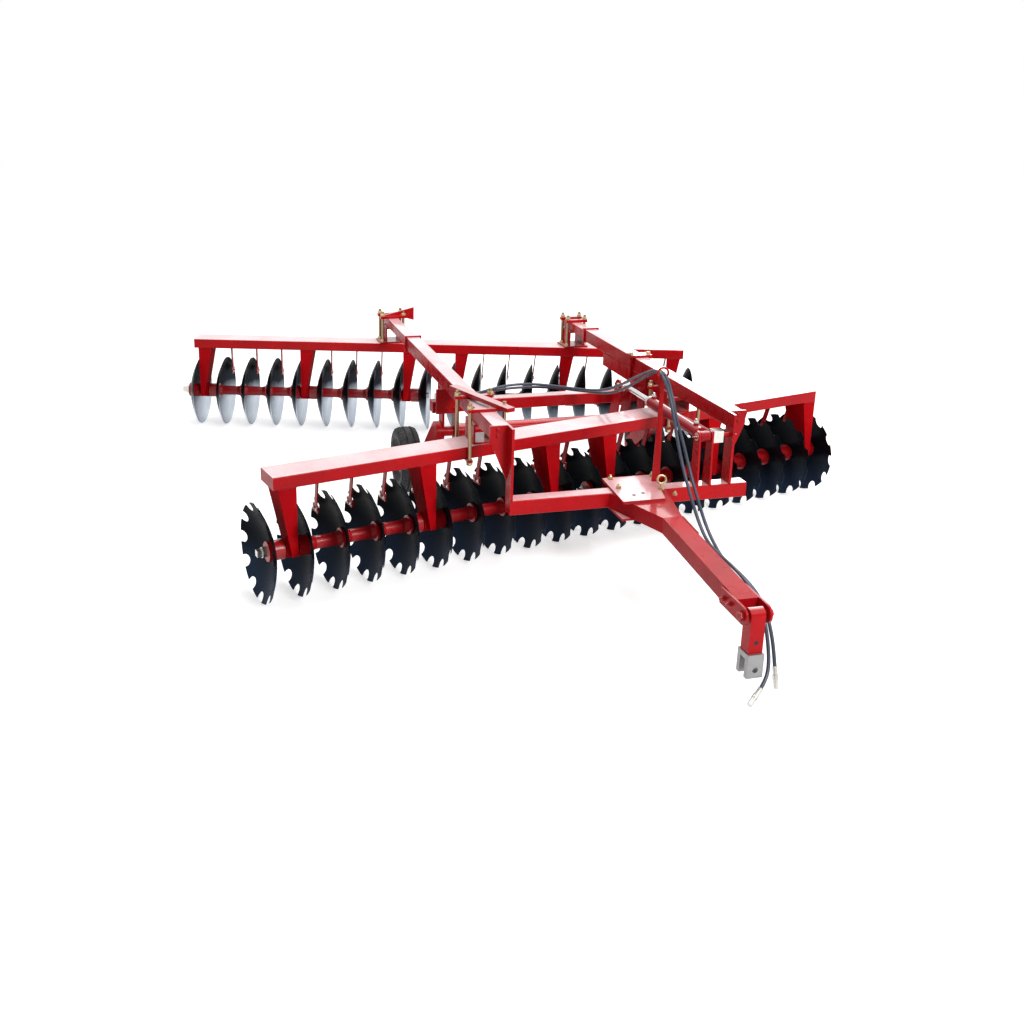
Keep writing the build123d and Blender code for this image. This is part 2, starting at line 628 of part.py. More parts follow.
def stay():
    """Round bar beside the cylinder, with a block on the mast pin and an eye on the cross tube's lug."""
    y, z = MAST_PIN
    width = STAY_BLOCK["width"]
    head = Pos(STAY_X, y, z) * Box(width, STAY_BLOCK["depth"], STAY_BLOCK["height"])
    eye_y, eye_z = stay_eye()
    start = Vector(STAY_X, y, z)
    end = Vector(STAY_X, eye_y, eye_z)
    along = end - start
    bar = extrude(Plane(origin=start, z_dir=along) * Circle(STAY_RADIUS), amount=along.length)
    eye = round_x(STAY_X - STAY_RADIUS, STAY_X + STAY_RADIUS, eye_y, eye_z, EYE_RADIUS)
    front_hole = round_x(STAY_X - width / 2, STAY_X + width / 2, y, z, PIN_RADIUS)
    rear_hole = round_x(STAY_X - STAY_RADIUS, STAY_X + STAY_RADIUS, eye_y, eye_z, PIN_RADIUS)
    return head + bar + eye - front_hole - rear_hole


def stay_eye():
    """The (y, z) of the pin at the rear end of the stay."""
    return cross_tube_y(), CROSS_TUBE["top"] + STAY_LUG["rise"]


def stay_lug():
    """Lug on the cross tube with the pin of the stay."""
    y, z = stay_eye()
    x1 = STAY_X - STAY_RADIUS
    x0 = x1 - STAY_LUG["plate"]
    half = STAY_LUG["half"]
    base = CROSS_TUBE["top"]
    lug = profile_x([(y - half, base), (y + half, base), (y + EYE_RADIUS, z), (y - EYE_RADIUS, z)], x0, x1)
    lug += round_x(x0, x1, y, z, EYE_RADIUS)
    return lug + round_x(x0 - PIN_END, STAY_X + STAY_RADIUS + PIN_END, y, z, PIN_RADIUS)


def bar_y(x, y0, y1, z, radius):
    """A round bar along Y."""
    return Pos(x, (y0 + y1) / 2, z) * Rot(90, 0, 0) * Cylinder(radius, y1 - y0)


def cylinder_barrel():
    """Barrel with its base eye."""
    y, z = MAST_PIN
    half = MAST_GAP / 2 - EYE_GAP
    start = y + BARREL_START
    end = start + BARREL_LENGTH
    body = round_x(MAST_X - half, MAST_X + half, y, z, EYE_RADIUS)
    body += block(MAST_X - half, MAST_X + half, y, start, z - BARREL_NECK, z + BARREL_NECK)
    body += bar_y(MAST_X, start, end, z, BARREL_RADIUS)
    body -= bar_y(MAST_X, start + BARREL_BASE, end, z, PISTON_RADIUS + PIN_GAP)
    return body - round_x(MAST_X - half, MAST_X + half, y, z, PIN_RADIUS + PIN_GAP)


def cylinder_rod():
    """Rod with the eye and the pin at the crank."""
    y, z = CRANK_PIN
    half = MAST_GAP / 2 - EYE_GAP
    start = MAST_PIN[0] + BARREL_START + ROD_INSIDE
    reach = MAST_GAP / 2 + MAST_PLATE + PIN_END
    body = bar_y(MAST_X, start, y, z, PISTON_RADIUS)
    body += round_x(MAST_X - half, MAST_X + half, y, z, EYE_RADIUS)
    return body + round_x(MAST_X - reach, MAST_X + reach, y, z, PIN_RADIUS)


def tyre(side):
    """Tyre with round side walls and three ribs, turned about its axle."""
    half = TYRE_WIDTH / 2
    edge_x = half - TYRE_SHOULDER["inset"]
    edge_radius = TYRE_RADIUS - TYRE_SHOULDER["drop"]
    inner, outer, slope = TYRE_GROOVE["inner"], TYRE_GROOVE["outer"], TYRE_GROOVE["slope"]
    low = TYRE_RADIUS - TYRE_GROOVE["depth"]
    right_half = [(inner, TYRE_RADIUS), (inner + slope, low), (outer - slope, low), (outer, TYRE_RADIUS),
                  (edge_x, edge_radius)]
    tread = [(-x, radius) for x, radius in reversed(right_half)] + right_half
    bead = half - TYRE_BEAD
    wall_radius = (RIM_RADIUS + TYRE_RADIUS) / 2
    edge = Polyline(*tread)
    edge += ThreePointArc(tread[-1], (half, wall_radius), (bead, RIM_RADIUS))
    edge += Line((bead, RIM_RADIUS), (-bead, RIM_RADIUS))
    edge += ThreePointArc((-bead, RIM_RADIUS), (-half, wall_radius), tread[0])
    return wheel_place(side) * revolve(make_face(edge), axis=Axis.X)


def wheel_place(side):
    """Moves a wheel part to the middle of its wheel."""
    return Pos(FRAME_CENTRE + side * WHEEL_OFFSET, WHEEL_Y, TYRE_RADIUS)


def rim(side):
    """Rim, wheel disc and hub in one."""
    edge = TYRE_WIDTH / 2 - TYRE_BEAD + RIM_EDGE["lip"]
    bore = AXLE_RADIUS + AXLE_GAP
    hub, radius, outer_radius, web = HUB["half"], HUB["radius"], HUB["outer_radius"], HUB["web"]
    shelf = RIM_RADIUS - RIM_EDGE["depth"]
    well = RIM_RADIUS - RIM_EDGE["dish"]
    outline = [(-edge, RIM_RADIUS), (-edge, shelf), (-web, well), (-web, radius + web), (-hub, radius),
               (-hub, bore), (hub, bore), (hub, outer_radius), (web, radius), (web, well),
               (edge, shelf), (edge, RIM_RADIUS)]
    return wheel_place(side) * turned_x(outline)


def drawbar():
    """Tapered base on the portal tube and the tube that runs down to the hitch."""
    top = PORTAL_TUBE["top"]
    bottom = top - PORTAL_TUBE["height"]
    front = PORTAL_TUBE["front"]
    half = DRAWBAR_WIDTH / 2
    pivot_y, pivot_z = HITCH_PIVOT
    left, right = (DRAWBAR_X + offset for offset in DRAWBAR_BASE)
    base = profile_z([(left, front), (right, front), (DRAWBAR_X + half, DRAWBAR_BEND),
                      (DRAWBAR_X - half, DRAWBAR_BEND)], bottom, top)
    tube = profile_x([(DRAWBAR_BEND, bottom), (DRAWBAR_BEND, top), (DRAWBAR_END, pivot_z + HITCH_BOSS),
                      (DRAWBAR_END, pivot_z - HITCH_BOSS)], DRAWBAR_X - half, DRAWBAR_X + half)
    body = base + tube
    rear = pivot_y + CHEEK_LENGTH
    for side in (-1, 1):
        x0, x1 = sorted((DRAWBAR_X + side * half, DRAWBAR_X + side * (half + CHEEK_PLATE)))
        cheek = profile_x([(rear, pivot_z - HITCH_BOSS + CHEEK_STEP["below"]),
                           (rear, pivot_z + HITCH_BOSS + CHEEK_STEP["above"]),
                           (pivot_y, pivot_z + HITCH_BOSS), (pivot_y, pivot_z - HITCH_BOSS)], x0, x1)
        body += cheek + round_x(x0, x1, pivot_y, pivot_z, HITCH_BOSS)
    reach = half + CHEEK_PLATE + HITCH_PIN_END
    return body + round_x(DRAWBAR_X - reach, DRAWBAR_X + reach, pivot_y, pivot_z, PIN_RADIUS)


def drawbar_plates():
    """Plates above and below that tie the drawbar to the portal tube."""
    top = PORTAL_TUBE["top"]
    bottom = top - PORTAL_TUBE["height"]
    plates = []
    for sizes, low in ((TOP_PLATE, top), (UNDER_PLATE, bottom - UNDER_PLATE["thickness"])):
        front_left = DRAWBAR_X + sizes["lead"][0]
        rear_left = DRAWBAR_X + sizes["lead"][1]
        front_right = DRAWBAR_X + sizes["reach"][0]
        rear_right = DRAWBAR_X + sizes["reach"][1]
        outline = [(front_left, sizes["front"]), (front_right, sizes["front"]),
                   (rear_right, sizes["rear"]), (rear_left, sizes["rear"])]
        plates.append(profile_z(outline, low, low + sizes["thickness"]))
    return plates


def tongue():
    """Hitch tongue that hangs from the drawbar's end."""
    y, z = HITCH_PIVOT
    half = TONGUE_WIDTH / 2
    depth = TONGUE_DEPTH / 2
    body = block(DRAWBAR_X - half, DRAWBAR_X + half, y - depth, y + depth, z - TONGUE_LENGTH, z)
    body += round_x(DRAWBAR_X - half, DRAWBAR_X + half, y, z, depth)
    return body - round_x(DRAWBAR_X - half, DRAWBAR_X + half, y, z, PIN_RADIUS + PIN_GAP)


def clevis():
    """Unpainted clevis at the tongue's end, with the bore of the hitch pin."""
    y, z = HITCH_PIVOT
    top = z - TONGUE_LENGTH
    width, depth, height = CLEVIS["width"], CLEVIS["depth"], CLEVIS["height"]
    body = Pos(DRAWBAR_X, y, top - height / 2) * Box(width, depth, height)
    body -= Pos(DRAWBAR_X, y, top - CLEVIS["crown"] - height / 2) * Box(width + 2, CLEVIS["slot"], height)
    return body - Pos(DRAWBAR_X, y, top - CLEVIS["bore"]) * Rot(90, 0, 0) * Cylinder(HITCH_BORE, depth + 2)


def hose_stand():
    """Tapered flat bar with a ring that carries the hoses."""
    x, y = STAND
    base = PORTAL_TUBE["top"] + TOP_PLATE["thickness"]
    low, high = (width / 2 for width in STAND_WIDTH)
    points = [(x - low, base), (x + low, base), (x + high, STAND_TOP), (x - high, STAND_TOP)]
    bar = profile_y(points, y - STAND_THICKNESS / 2, STAND_THICKNESS)
    radius, wire = STAND_RING
    return bar + Pos(x, y, STAND_TOP + radius) * Rot(90, 0, 0) * Torus(radius, wire)


def hose_radii(points):
    """Bend radius at each corner of a route, as large as the shorter of its two runs allows."""
    vectors = [Vector(*b) - Vector(*a) for a, b in zip(points, points[1:])]
    radii = []
    for before, after in zip(vectors, vectors[1:]):
        half_turn = radians(before.get_angle(after)) / 2
        radii.append(0.45 * min(before.length, after.length) / tan(half_turn))
    return radii


def hose(points):
    """Tube along straight runs that tangent arcs join."""
    path = FilletPolyline(*points, radius=hose_radii(points))
    start = Plane(origin=path @ 0, z_dir=path % 0)
    return sweep(start * Circle(HOSE_RADIUS), path=path)


def coupler(points):
    """Plug at the front end of a hose, in line with the hose's first run."""
    along = Vector(*points[0]) - Vector(*points[1])
    place = Plane(origin=points[0], z_dir=along)
    body = extrude(place * Circle(COUPLER["radius"]), amount=COUPLER["length"])
    return body + extrude(place * Circle(COUPLER["collar"]), amount=COUPLER["collar_length"])


def hose_ports():
    """Block on the cross tube with the stubs that the two hoses end at."""
    y = cross_tube_y()
    base = CROSS_TUBE["top"]
    half = PORT_BLOCK["length"] / 2
    right = PORT_BLOCK["left"] + PORT_BLOCK["width"]
    body = block(PORT_BLOCK["left"], right, y - half, y + half, base, base + PORT_BLOCK["height"])
    for side in (-1, 1):
        stub = (y + side * PORT["spread"] / 2, base + PORT["rise"])
        body += round_x(right - PORT["overlap"], right + PORT["length"], *stub, PORT["radius"])
    return body


# Build every piece in its place, keyed by its node.
pieces = {}
for row_name, row in ROWS.items():
    place = row_place(row)
    pieces["gang_beam_" + row_name] = place * gang_beam(row)
    disc = Rot(0, 0, 0 if row["side"] > 0 else 180) * dished_disc(row["notched"])
    for gang_name, first in (("left", 1), ("right", 1 + DISCS_PER_GANG)):
        label = row_name + "_" + gang_name
        numbers = range(first, first + DISCS_PER_GANG)
        discs = [place * Pos((number - 1) * DISC_PITCH, 0, DISC_RADIUS) * disc for number in numbers]
        pieces["discs_" + label] = Compound(discs)
        pieces["gang_shaft_" + label] = place * gang_shaft(row, first)
        hangers = [place * hanger(row, first + after - 1) for after in HANGER_AFTER]
        pieces["hangers_" + label] = Compound(hangers)
        scrapers = [place * scraper(row, number) for number in numbers if number != row["bare"]]
        pieces["scrapers_" + label] = Compound(scrapers)

for side, side_name in ((-1, "left"), (1, "right")):
    pieces["long_beam_" + side_name] = long_beam(side)
    pieces["portal_post_" + side_name] = portal_post(side)
    pieces["rear_slide_" + side_name] = rear_slide(side)
    pieces["rocker_bracket_" + side_name] = rocker_bracket(side)
    pieces["wheel_arm_" + side_name] = wheel_arm(side)
    pieces["tyre_" + side_name] = tyre(side)
    pieces["rim_" + side_name] = rim(side)
    middle_x = sum(beam_x(side)) / 2
    for row_name, row in ROWS.items():
        clamp_maker = front_clamp if row_name == "front" else rear_clamp
        clamp_pieces = clamp_maker(middle_x, row_axis_y(row, middle_x), side < 0)
        pieces["clamp_" + row_name + "_" + side_name] = Compound(clamp_pieces)

pieces["cross_tube"] = cross_tube()
pieces["cross_tube_blocks"] = Compound(cross_tube_blocks())
pieces["stay"] = stay()
pieces["stay_lug"] = stay_lug()
pieces["portal_tube"] = portal_tube()
pieces["rocker_shaft"] = rocker_shaft()
pieces["crank"] = Compound(crank())
pieces["mast"] = mast()
pieces["cylinder_barrel"] = cylinder_barrel()
pieces["cylinder_rod"] = cylinder_rod()
pieces["drawbar"] = drawbar()
pieces["drawbar_plates"] = Compound(drawbar_plates())
pieces["tongue"] = tongue()
pieces["clevis"] = clevis()
pieces["hose_stand"] = hose_stand()
pieces["hose_ports"] = hose_ports()

# Put the origin at the middle of the bottom of the machine without its hoses and couplers.
whole = Compound([piece for piece in pieces.values()]).bounding_box()
shift = Pos(-(whole.min.X + whole.max.X) / 2, -(whole.min.Y + whole.max.Y) / 2, -whole.min.Z)
for side_name, points in HOSES.items():
    pieces["hose_" + side_name] = hose(points)
    pieces["coupler_" + side_name] = coupler(points)
    print("hose", side_name, "radii", [round(radius) for radius in hose_radii(points)])

os.makedirs("parts", exist_ok=True)
for node, piece in pieces.items():
    export_step(shift * piece, "parts/" + node + ".step")
print("shift", shift.position)
print("size", whole.size)
for side_name in HOSES:
    tube = pieces["hose_" + side_name]
    print("hose", side_name, "length", round(tube.volume / (pi * HOSE_RADIUS ** 2)), "valid", tube.is_valid)
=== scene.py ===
import json
import math

import bmesh
import bpy
from mathutils import Matrix, Vector


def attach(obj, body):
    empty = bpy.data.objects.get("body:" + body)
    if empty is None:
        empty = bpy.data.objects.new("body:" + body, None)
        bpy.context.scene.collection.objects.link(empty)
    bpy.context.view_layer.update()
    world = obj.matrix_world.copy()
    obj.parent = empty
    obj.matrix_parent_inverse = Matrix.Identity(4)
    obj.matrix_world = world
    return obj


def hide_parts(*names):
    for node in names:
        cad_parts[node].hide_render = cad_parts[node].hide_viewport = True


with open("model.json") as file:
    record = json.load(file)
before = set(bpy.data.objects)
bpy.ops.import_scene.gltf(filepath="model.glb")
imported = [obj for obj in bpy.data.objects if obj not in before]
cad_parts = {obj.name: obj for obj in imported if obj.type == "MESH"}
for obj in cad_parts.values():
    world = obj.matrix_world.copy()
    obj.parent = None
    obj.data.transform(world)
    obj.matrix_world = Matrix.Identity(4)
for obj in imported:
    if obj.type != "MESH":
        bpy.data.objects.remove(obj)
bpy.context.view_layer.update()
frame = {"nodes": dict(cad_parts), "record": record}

# Camera: fitted to the photo, metres in the row frame, angles in degrees.
CAMERA_PLACE = (-2.3788, -7.1512, 2.9213)
CAMERA_YAW = 13.422
CAMERA_PITCH = 16.722
CAMERA_ROLL = 0.457
FOCAL_PIXELS = 1075.5
PRINCIPAL_POINT = (432.0, 415.7)
PICTURE_SIDE = 1024
SENSOR = 36.0
VIEW_END = 200.0

# Light of the surroundings on the object. The floor's own light rises between two distances from the middle.
WORLD_LIGHT = 0.45
FLOOR_SIZE = 80.0
FLOOR_REACH = (4.0, 12.0)
FLOOR_LIFT = (0.52, 0.64)

# From the CAD source's own frame to the row frame, in metres.
SHIFT = (-1.93545, -1.20091)

# Routes of the two hoses from the ports on the cross tube to the plugs, metres in the source's frame.
HOSE_RADIUS = 0.010
HOSES = {
    "left": [
        (1.506, 1.343, 0.810), (1.600, 1.343, 0.810), (1.710, 1.372, 0.828), (1.880, 1.390, 0.856),
        (2.070, 1.382, 0.858), (2.245, 1.322, 0.844), (2.372, 1.195, 0.848), (2.438, 1.015, 0.882),
        (2.452, 0.820, 0.948), (2.448, 0.610, 1.038), (2.430, 0.400, 1.132), (2.412, 0.200, 1.215),
        (2.398, 0.035, 1.282), (2.389, -0.095, 1.298), (2.392, -0.198, 1.222), (2.406, -0.262, 1.080),
        (2.430, -0.295, 0.915), (2.456, -0.350, 0.750), (2.467, -0.455, 0.605), (2.460, -0.590, 0.500),
        (2.428, -0.755, 0.462), (2.386, -0.950, 0.480), (2.368, -1.150, 0.494), (2.360, -1.330, 0.482),
        (2.362, -1.450, 0.435), (2.368, -1.530, 0.345), (2.368, -1.585, 0.222), (2.350, -1.632, 0.125),
        (2.300, -1.672, 0.073), (2.252, -1.702, 0.046),
    ],
    "right": [
        (1.506, 1.377, 0.810), (1.605, 1.377, 0.810), (1.715, 1.408, 0.810), (1.890, 1.426, 0.820),
        (2.085, 1.420, 0.824), (2.268, 1.362, 0.818), (2.402, 1.225, 0.826), (2.472, 1.035, 0.856),
        (2.486, 0.828, 0.916), (2.480, 0.612, 1.008), (2.460, 0.400, 1.110), (2.440, 0.200, 1.202),
        (2.422, 0.032, 1.278), (2.411, -0.095, 1.298), (2.415, -0.186, 1.212), (2.430, -0.240, 1.068),
        (2.478, -0.276, 0.900), (2.506, -0.335, 0.732), (2.518, -0.445, 0.582), (2.510, -0.588, 0.472),
        (2.478, -0.760, 0.434), (2.412, -0.975, 0.452), (2.394, -1.190, 0.468), (2.392, -1.375, 0.446),
        (2.402, -1.480, 0.375), (2.408, -1.545, 0.260), (2.409, -1.583, 0.156), (2.405, -1.610, 0.088),
    ],
}

# From here on sizes and places are in millimetres of the source's frame, unless a comment says otherwise.
# The two disc rows: angle about Z in degrees, first hub, side that the dishes open to, disc with no scraper.
ROWS = {
    "front": dict(angle=14.3, x=0.0, y=0.0, side=-1, bare=1),
    "rear": dict(angle=-17.3, x=-364.0, y=3787.0, side=1, bare=20),
}
SIDES = ("left", "right")
FIRST_DISCS = {"left": 1, "right": 11}
DISCS_PER_GANG = 10
DISC_RADIUS = 305.0
DISC_PITCH = 230.0
GANG_BEAM_BOTTOM = 720.0
GANG_BEAM_TOP = 800.0

# Hangers: one after the first, fifth and ninth disc of every gang. Nipples are placed from a bearing's axis.
HANGER_AFTER = (1, 5, 9)
HANGER_TOP_WIDTH = 114.0
HANGER_TIP_WIDTH = 38.0
HANGER_HALF_DEPTH = 102.0
NIPPLE = dict(x=-24.0, y=30.0, rise=50.0)

# Scrapers: where an arm's foot stands from its disc's hub, and the two bolts of the blade.
SCRAPER_FOOT = dict(x=100.0, y=DISC_RADIUS - 125, z=DISC_RADIUS + 160)
SCRAPER_HALF_THICKNESS = 4.5
SCRAPER_BOLTS = dict(apart=26.0, below=16.0)

# Where the nuts of a gang's shaft begin, past the middles of its outer discs.
SHAFT_NUT_START = 29.2

# Main frame.
BEAM_CENTRES = {"left": 1376.0, "right": 2904.0}
BEAM_HALF_WIDTH = 55.0
BEAM_BOTTOM = 930.0
BEAM_TOP = 1030.0
PORTAL = dict(front=-200.0, rear=-100.0, bottom=485.0, top=580.0)
POST_PLATE = 16.0
CROSS_STRAP = dict(rods=(2836.0, 2972.0), y=1360.0, top=1050.0)

# Clamps: reach of the rods along X and Y, how far outside a rod a face still counts as its own, and the faces
# that the nuts sit on above and below.
FRONT_RODS = (110.0, 158.0)
REAR_RODS = {"left": (92.0, 66.0), "right": (76.0, 66.0)}
ROD_RADIUS = 12.0
ROD_MARGIN = 0.6
CLAMP_PLATE_TOP = 815.0
CLAMP_FACES = {
    ("front", "left"): (1050.0, 705.0), ("front", "right"): (930.0, 705.0),
    ("rear", "left"): (1042.0, None), ("rear", "right"): (1042.0, None),
}

# Weld beads lie this far outside the faces they join, and some end short of a corner. A thin bead's radius is
# in metres.
WELD_OUT = 1.0
WELD_SHORT = 2.0
THIN_BEAD = 0.004
BRACKET_SEAM = (1130.0, 1240.0)
COLLAR_SEAM = dict(spread=1.02, y=2345.0, low=935.0, high=1025.0)
CROSS_SEAM = dict(half=43.0, y=1311.0, z=781.0)
SADDLE_SEAM = dict(half_width=71.0, half_length=98.0)
UNDER_PLATE_SEAM = (2050.0, 2420.0)
TOP_PLATE_SEAM = dict(x=(2060.0, 2330.0), y=-391.0)
DRAWBAR_SEAM = dict(start=(-642.0, 581.0), end=(-850.0, 560.0))

# Painted bolts on the rocker's brackets and on the portal posts.
BRACKET_BOLTS = dict(x=(-30.0, 30.0), y=1108.0, z=(784.0, 900.0))
POST_BOLTS = dict(outward=20.0, y=-112.0, z=(968.0, 1006.0))

# Mast, cylinder and hitch. What is on the barrel is measured from its front and its axis.
MAST_X = 2680.0
MAST_INSIDE = 37.0
MAST_OUTSIDE = 49.0
PIN_HEIGHT = 890.0
MAST_PIN_Y = -150.0
MAST_PIN_ENDS = ((2631.0, -1), (2865.0, 1))
CRANK_PIN_Y = 1100.0
CRANK_PIN_REACH = 50.5
BARREL_FRONT_Y = -104.0
BARREL_RING = 4.0
BARREL_PORTS = (70.0, 700.0)
BARREL_GLAND = 732.0
PORT_RISE = 34.0
UNION_RISE = 50.0
UNION_TOP_RISE = 62.0
DRAWBAR_X = 2260.0
DRAWBAR_HALF_WIDTH = 60.0
CHEEK_FACE = 72.0
CHEEK_BOLTS = dict(behind=(120.0, 185.0), above=6.0)
HITCH_PIVOT = (-1600.0, 440.0)
TONGUE_HOLE = (-1638.0, 300.0)

# Wheels.
FRAME_CENTRE = 2140.0
WHEEL_OFFSET = 975.0
WHEEL_Y = 1620.0
TYRE_RADIUS = 250.0

# All lengths from here on are in metres. What is on the drawbar's top plate, in the row frame:
TOP_PLATE_HEIGHT = 0.596
PLATE_BOLTS = ((0.200, -1.205), (0.478, -1.207), (0.187, -1.366))
EYE_BOLT = (0.437, -1.437)
SMALL_BOLT = (0.478, -1.545)
PLATE_HOLES = ((0.232, -1.499), (0.300, -1.478))

# Where the block of the stay ends and its bar begins, as a Y of the row frame.
STAY_BLOCK_END = -1.25

# Bolts: radius to the corners of the head, and how far the thread's end stands out of it. Below them are
# shares of the head's radius, and the root of a thread as a share of the thread's radius.
BOLTS = {
    "scraper": (0.008, 0.0),
    "cheek": (0.014, 0.012),
    "plate": (0.015, 0.014),
    "eye": (0.016, 0.0),
    "small": (0.012, 0.010),
    "bracket": (0.014, 0.008),
    "post": (0.012, 0.0),
    "wheel, left face": (0.010, 0.004),
    "wheel, right face": (0.010, 0.010),
}
HEAD_HEIGHT = 0.75
HEAD_BEVEL = 0.12
HEAD_WASHER = 1.25
HEAD_THREAD = 0.55
THREAD_ROOT = 0.88
WASHER_THICKNESS = 0.003
PIN_WASHER_THICKNESS = 0.004
WASHER_BEVEL = 0.0006

# Nuts with a washer: radius to the corners, height, and the washer's radius.
CLAMP_NUTS = {
    "above": (0.020, 0.018, 0.021),
    "below": (0.020, 0.016, 0.021),
    "on plate": (0.020, 0.014, 0.021),
    "strap": (0.016, 0.012, 0.016),
}
HITCH_NUT = (0.026, 0.017, 0.027)
UNION_NUT = (0.014, 0.012)

# Ends of pins: washer's radius, and distance, lean and radius of the split ring beyond it.
MAST_PIN_END = dict(washer=0.026, past=0.009, lean=0.4, ring=0.021)
CRANK_PIN_END = dict(washer=0.024, past=0.008, lean=0.3, ring=0.020)
RING_WIRE = 0.0022

# The eye of the eye bolt: height of its middle above the plate, lean, and radii of the ring and of its wire.
EYE = dict(rise=0.062, lean=0.3, radius=0.026, wire=0.007)

# Ripples along a weld bead, as shares of its radius with their turn at each step, and its thinner ends.
RIPPLES = ((0.16, 2.1), (0.07, 5.3))
BEAD_END = 0.45

# Holes are drawn as thin dark discs, which are painted shade in the holes.
HOLE_DEPTH = 0.0008
PLATE_HOLE_RADIUS = 0.011
TONGUE_HOLE_RADIUS = 0.012

# Profiles of turned pieces: height and radius.
FERRULE_WIDE = 0.0140
FERRULE_NARROW = 0.0128
FERRULE = [
    (0.0, 0.0125), (0.002, FERRULE_WIDE), (0.010, FERRULE_WIDE), (0.011, FERRULE_NARROW),
    (0.014, FERRULE_NARROW), (0.015, FERRULE_WIDE), (0.026, FERRULE_WIDE), (0.027, FERRULE_NARROW),
    (0.030, FERRULE_NARROW), (0.031, FERRULE_WIDE), (0.040, FERRULE_WIDE), (0.043, 0.0115),
]
GREASE_NIPPLE = [(0.0, 0.005), (0.008, 0.005), (0.008, 0.0035), (0.014, 0.0035), (0.016, 0.002)]
EYE_SHANK = [(0.0, 0.008), (0.040, 0.008)]
END_RING = [(0.0, 0.0375), (0.004, 0.0410), (0.030, 0.0410), (0.034, 0.0375)]
PORT = [(0.0, 0.017), (0.014, 0.017), (0.016, 0.015)]
GLAND = [(0.0, 0.0382), (0.003, 0.0405), (0.024, 0.0405), (0.026, 0.036)]
UNION_TOP = [(0.0, 0.008), (0.014, 0.008), (0.016, 0.006)]
VALVE = [(0.0, 0.004), (0.014, 0.004), (0.020, 0.0025)]

# Tyre and wheel, from the wheel's middle: tread blocks, side wall ribs as radius and reach, bolts and valve.
# The turn of the bolts is in radians.
TREAD_BLOCKS = 44
TREAD = dict(radius=0.2380, aside=0.0540, lean=0.42, block=(0.030, 0.020, 0.012))
RIBS = ((0.222, 0.0755), (0.160, 0.0752))
RIB_WIRE = 0.0022
RIB_SIDES = 64
WHEEL_BOLTS = dict(count=5, turned=0.3, circle=0.078, face=0.008)
VALVE_PLACE = dict(rise=0.120, outward=0.028, lean=0.5)

X, Y, Z = Vector((1.0, 0.0, 0.0)), Vector((0.0, 1.0, 0.0)), Vector((0.0, 0.0, 1.0))


def at(x, y, z):
    """A point of the source's frame, in millimetres, as a point of the row frame."""
    return Vector((x / 1000 + SHIFT[0], y / 1000 + SHIFT[1], z / 1000))


def on_row(row, x, y, z):
    """A point of a disc row's own frame (X along the gang, Y to the rear), in the row frame."""
    turn = math.radians(ROWS[row]["angle"])
    return at(ROWS[row]["x"] + x * math.cos(turn) - y * math.sin(turn),
              ROWS[row]["y"] + x * math.sin(turn) + y * math.cos(turn), z)


def row_direction(row):
    """The direction of a disc row's axle."""
    turn = math.radians(ROWS[row]["angle"])
    return Vector((math.cos(turn), math.sin(turn), 0.0))


def row_axis_y(row, x):
    """The Y of a row's axle at an X."""
    place = ROWS[row]
    return place["y"] + (x - place["x"]) * math.tan(math.radians(place["angle"]))


def hanger_places(first):
    """Distances along a row of the three hangers of the gang that begins with a disc."""
    return [(first - 1 + number - 0.5) * DISC_PITCH for number in HANGER_AFTER]


def spoke(angle):
    """The direction across a wheel's axle at an angle."""
    return Vector((0.0, math.cos(angle), math.sin(angle)))


def make_camera():
    """The photo's camera, with its off-centre principal point as lens shift."""
    data = bpy.data.cameras.new("camera")
    data.sensor_width = SENSOR
    data.lens = FOCAL_PIXELS / PICTURE_SIDE * SENSOR
    data.shift_x = (PICTURE_SIDE / 2 - PRINCIPAL_POINT[0]) / PICTURE_SIDE
    data.shift_y = (PRINCIPAL_POINT[1] - PICTURE_SIDE / 2) / PICTURE_SIDE
    data.clip_end = VIEW_END
    camera = bpy.data.objects.new("camera", data)
    bpy.context.scene.collection.objects.link(camera)
    yaw, pitch, roll = (math.radians(a) for a in (CAMERA_YAW, CAMERA_PITCH, CAMERA_ROLL))
    forward = Vector((math.sin(yaw) * math.cos(pitch), math.cos(yaw) * math.cos(pitch), -math.sin(pitch)))
    level_right = Vector((math.cos(yaw), -math.sin(yaw), 0.0))
    level_up = level_right.cross(forward)
    right = math.cos(roll) * level_right + math.sin(roll) * level_up
    up = -math.sin(roll) * level_right + math.cos(roll) * level_up
    turn = Matrix((right, up, -forward)).transposed()
    camera.matrix_world = Matrix.Translation(CAMERA_PLACE) @ turn.to_4x4()
    bpy.context.scene.camera = camera


def make_hose(side):
    """A hose as one smooth curve along its route, with ferrules at both ends."""
    curve = bpy.data.curves.new(f"hose_line_{side}", "CURVE")
    curve.dimensions = "3D"
    # The bevel is scaled by each point's radius, which keeps the curve's box close to the hose.
    curve.bevel_depth = 1.0
    curve.bevel_resolution = 4
    curve.resolution_u = 10
    curve.use_fill_caps = True
    spline = curve.splines.new("NURBS")
    points = HOSES[side]
    spline.points.add(len(points) - 1)
    for point, (x, y, z) in zip(spline.points, points):
        point.co = (x + SHIFT[0], y + SHIFT[1], z, 1.0)
        point.radius = HOSE_RADIUS
    spline.order_u = 3
    spline.use_endpoint_u = True
    hose = bpy.data.objects.new(f"hydraulic_hose_{side}", curve)
    bpy.context.scene.collection.objects.link(hose)
    hose.data.materials.append(MATERIALS["hose_rubber"])
    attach(hose, "frame")
    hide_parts(f"hose_{side}")
    make_ferrules(side)


def make_ferrules(side):
    """Swaged ferrules at both ends of a hose."""
    ferrules = Shapes(f"hose_ferrules_{side}", "frame", "zinc")
    points = [Vector((x + SHIFT[0], y + SHIFT[1], z)) for x, y, z in HOSES[side]]
    for near, far in ((points[0], points[1]), (points[-1], points[-2])):
        ferrules.turned(FERRULE, near, (far - near).normalized())
    return ferrules.finish()


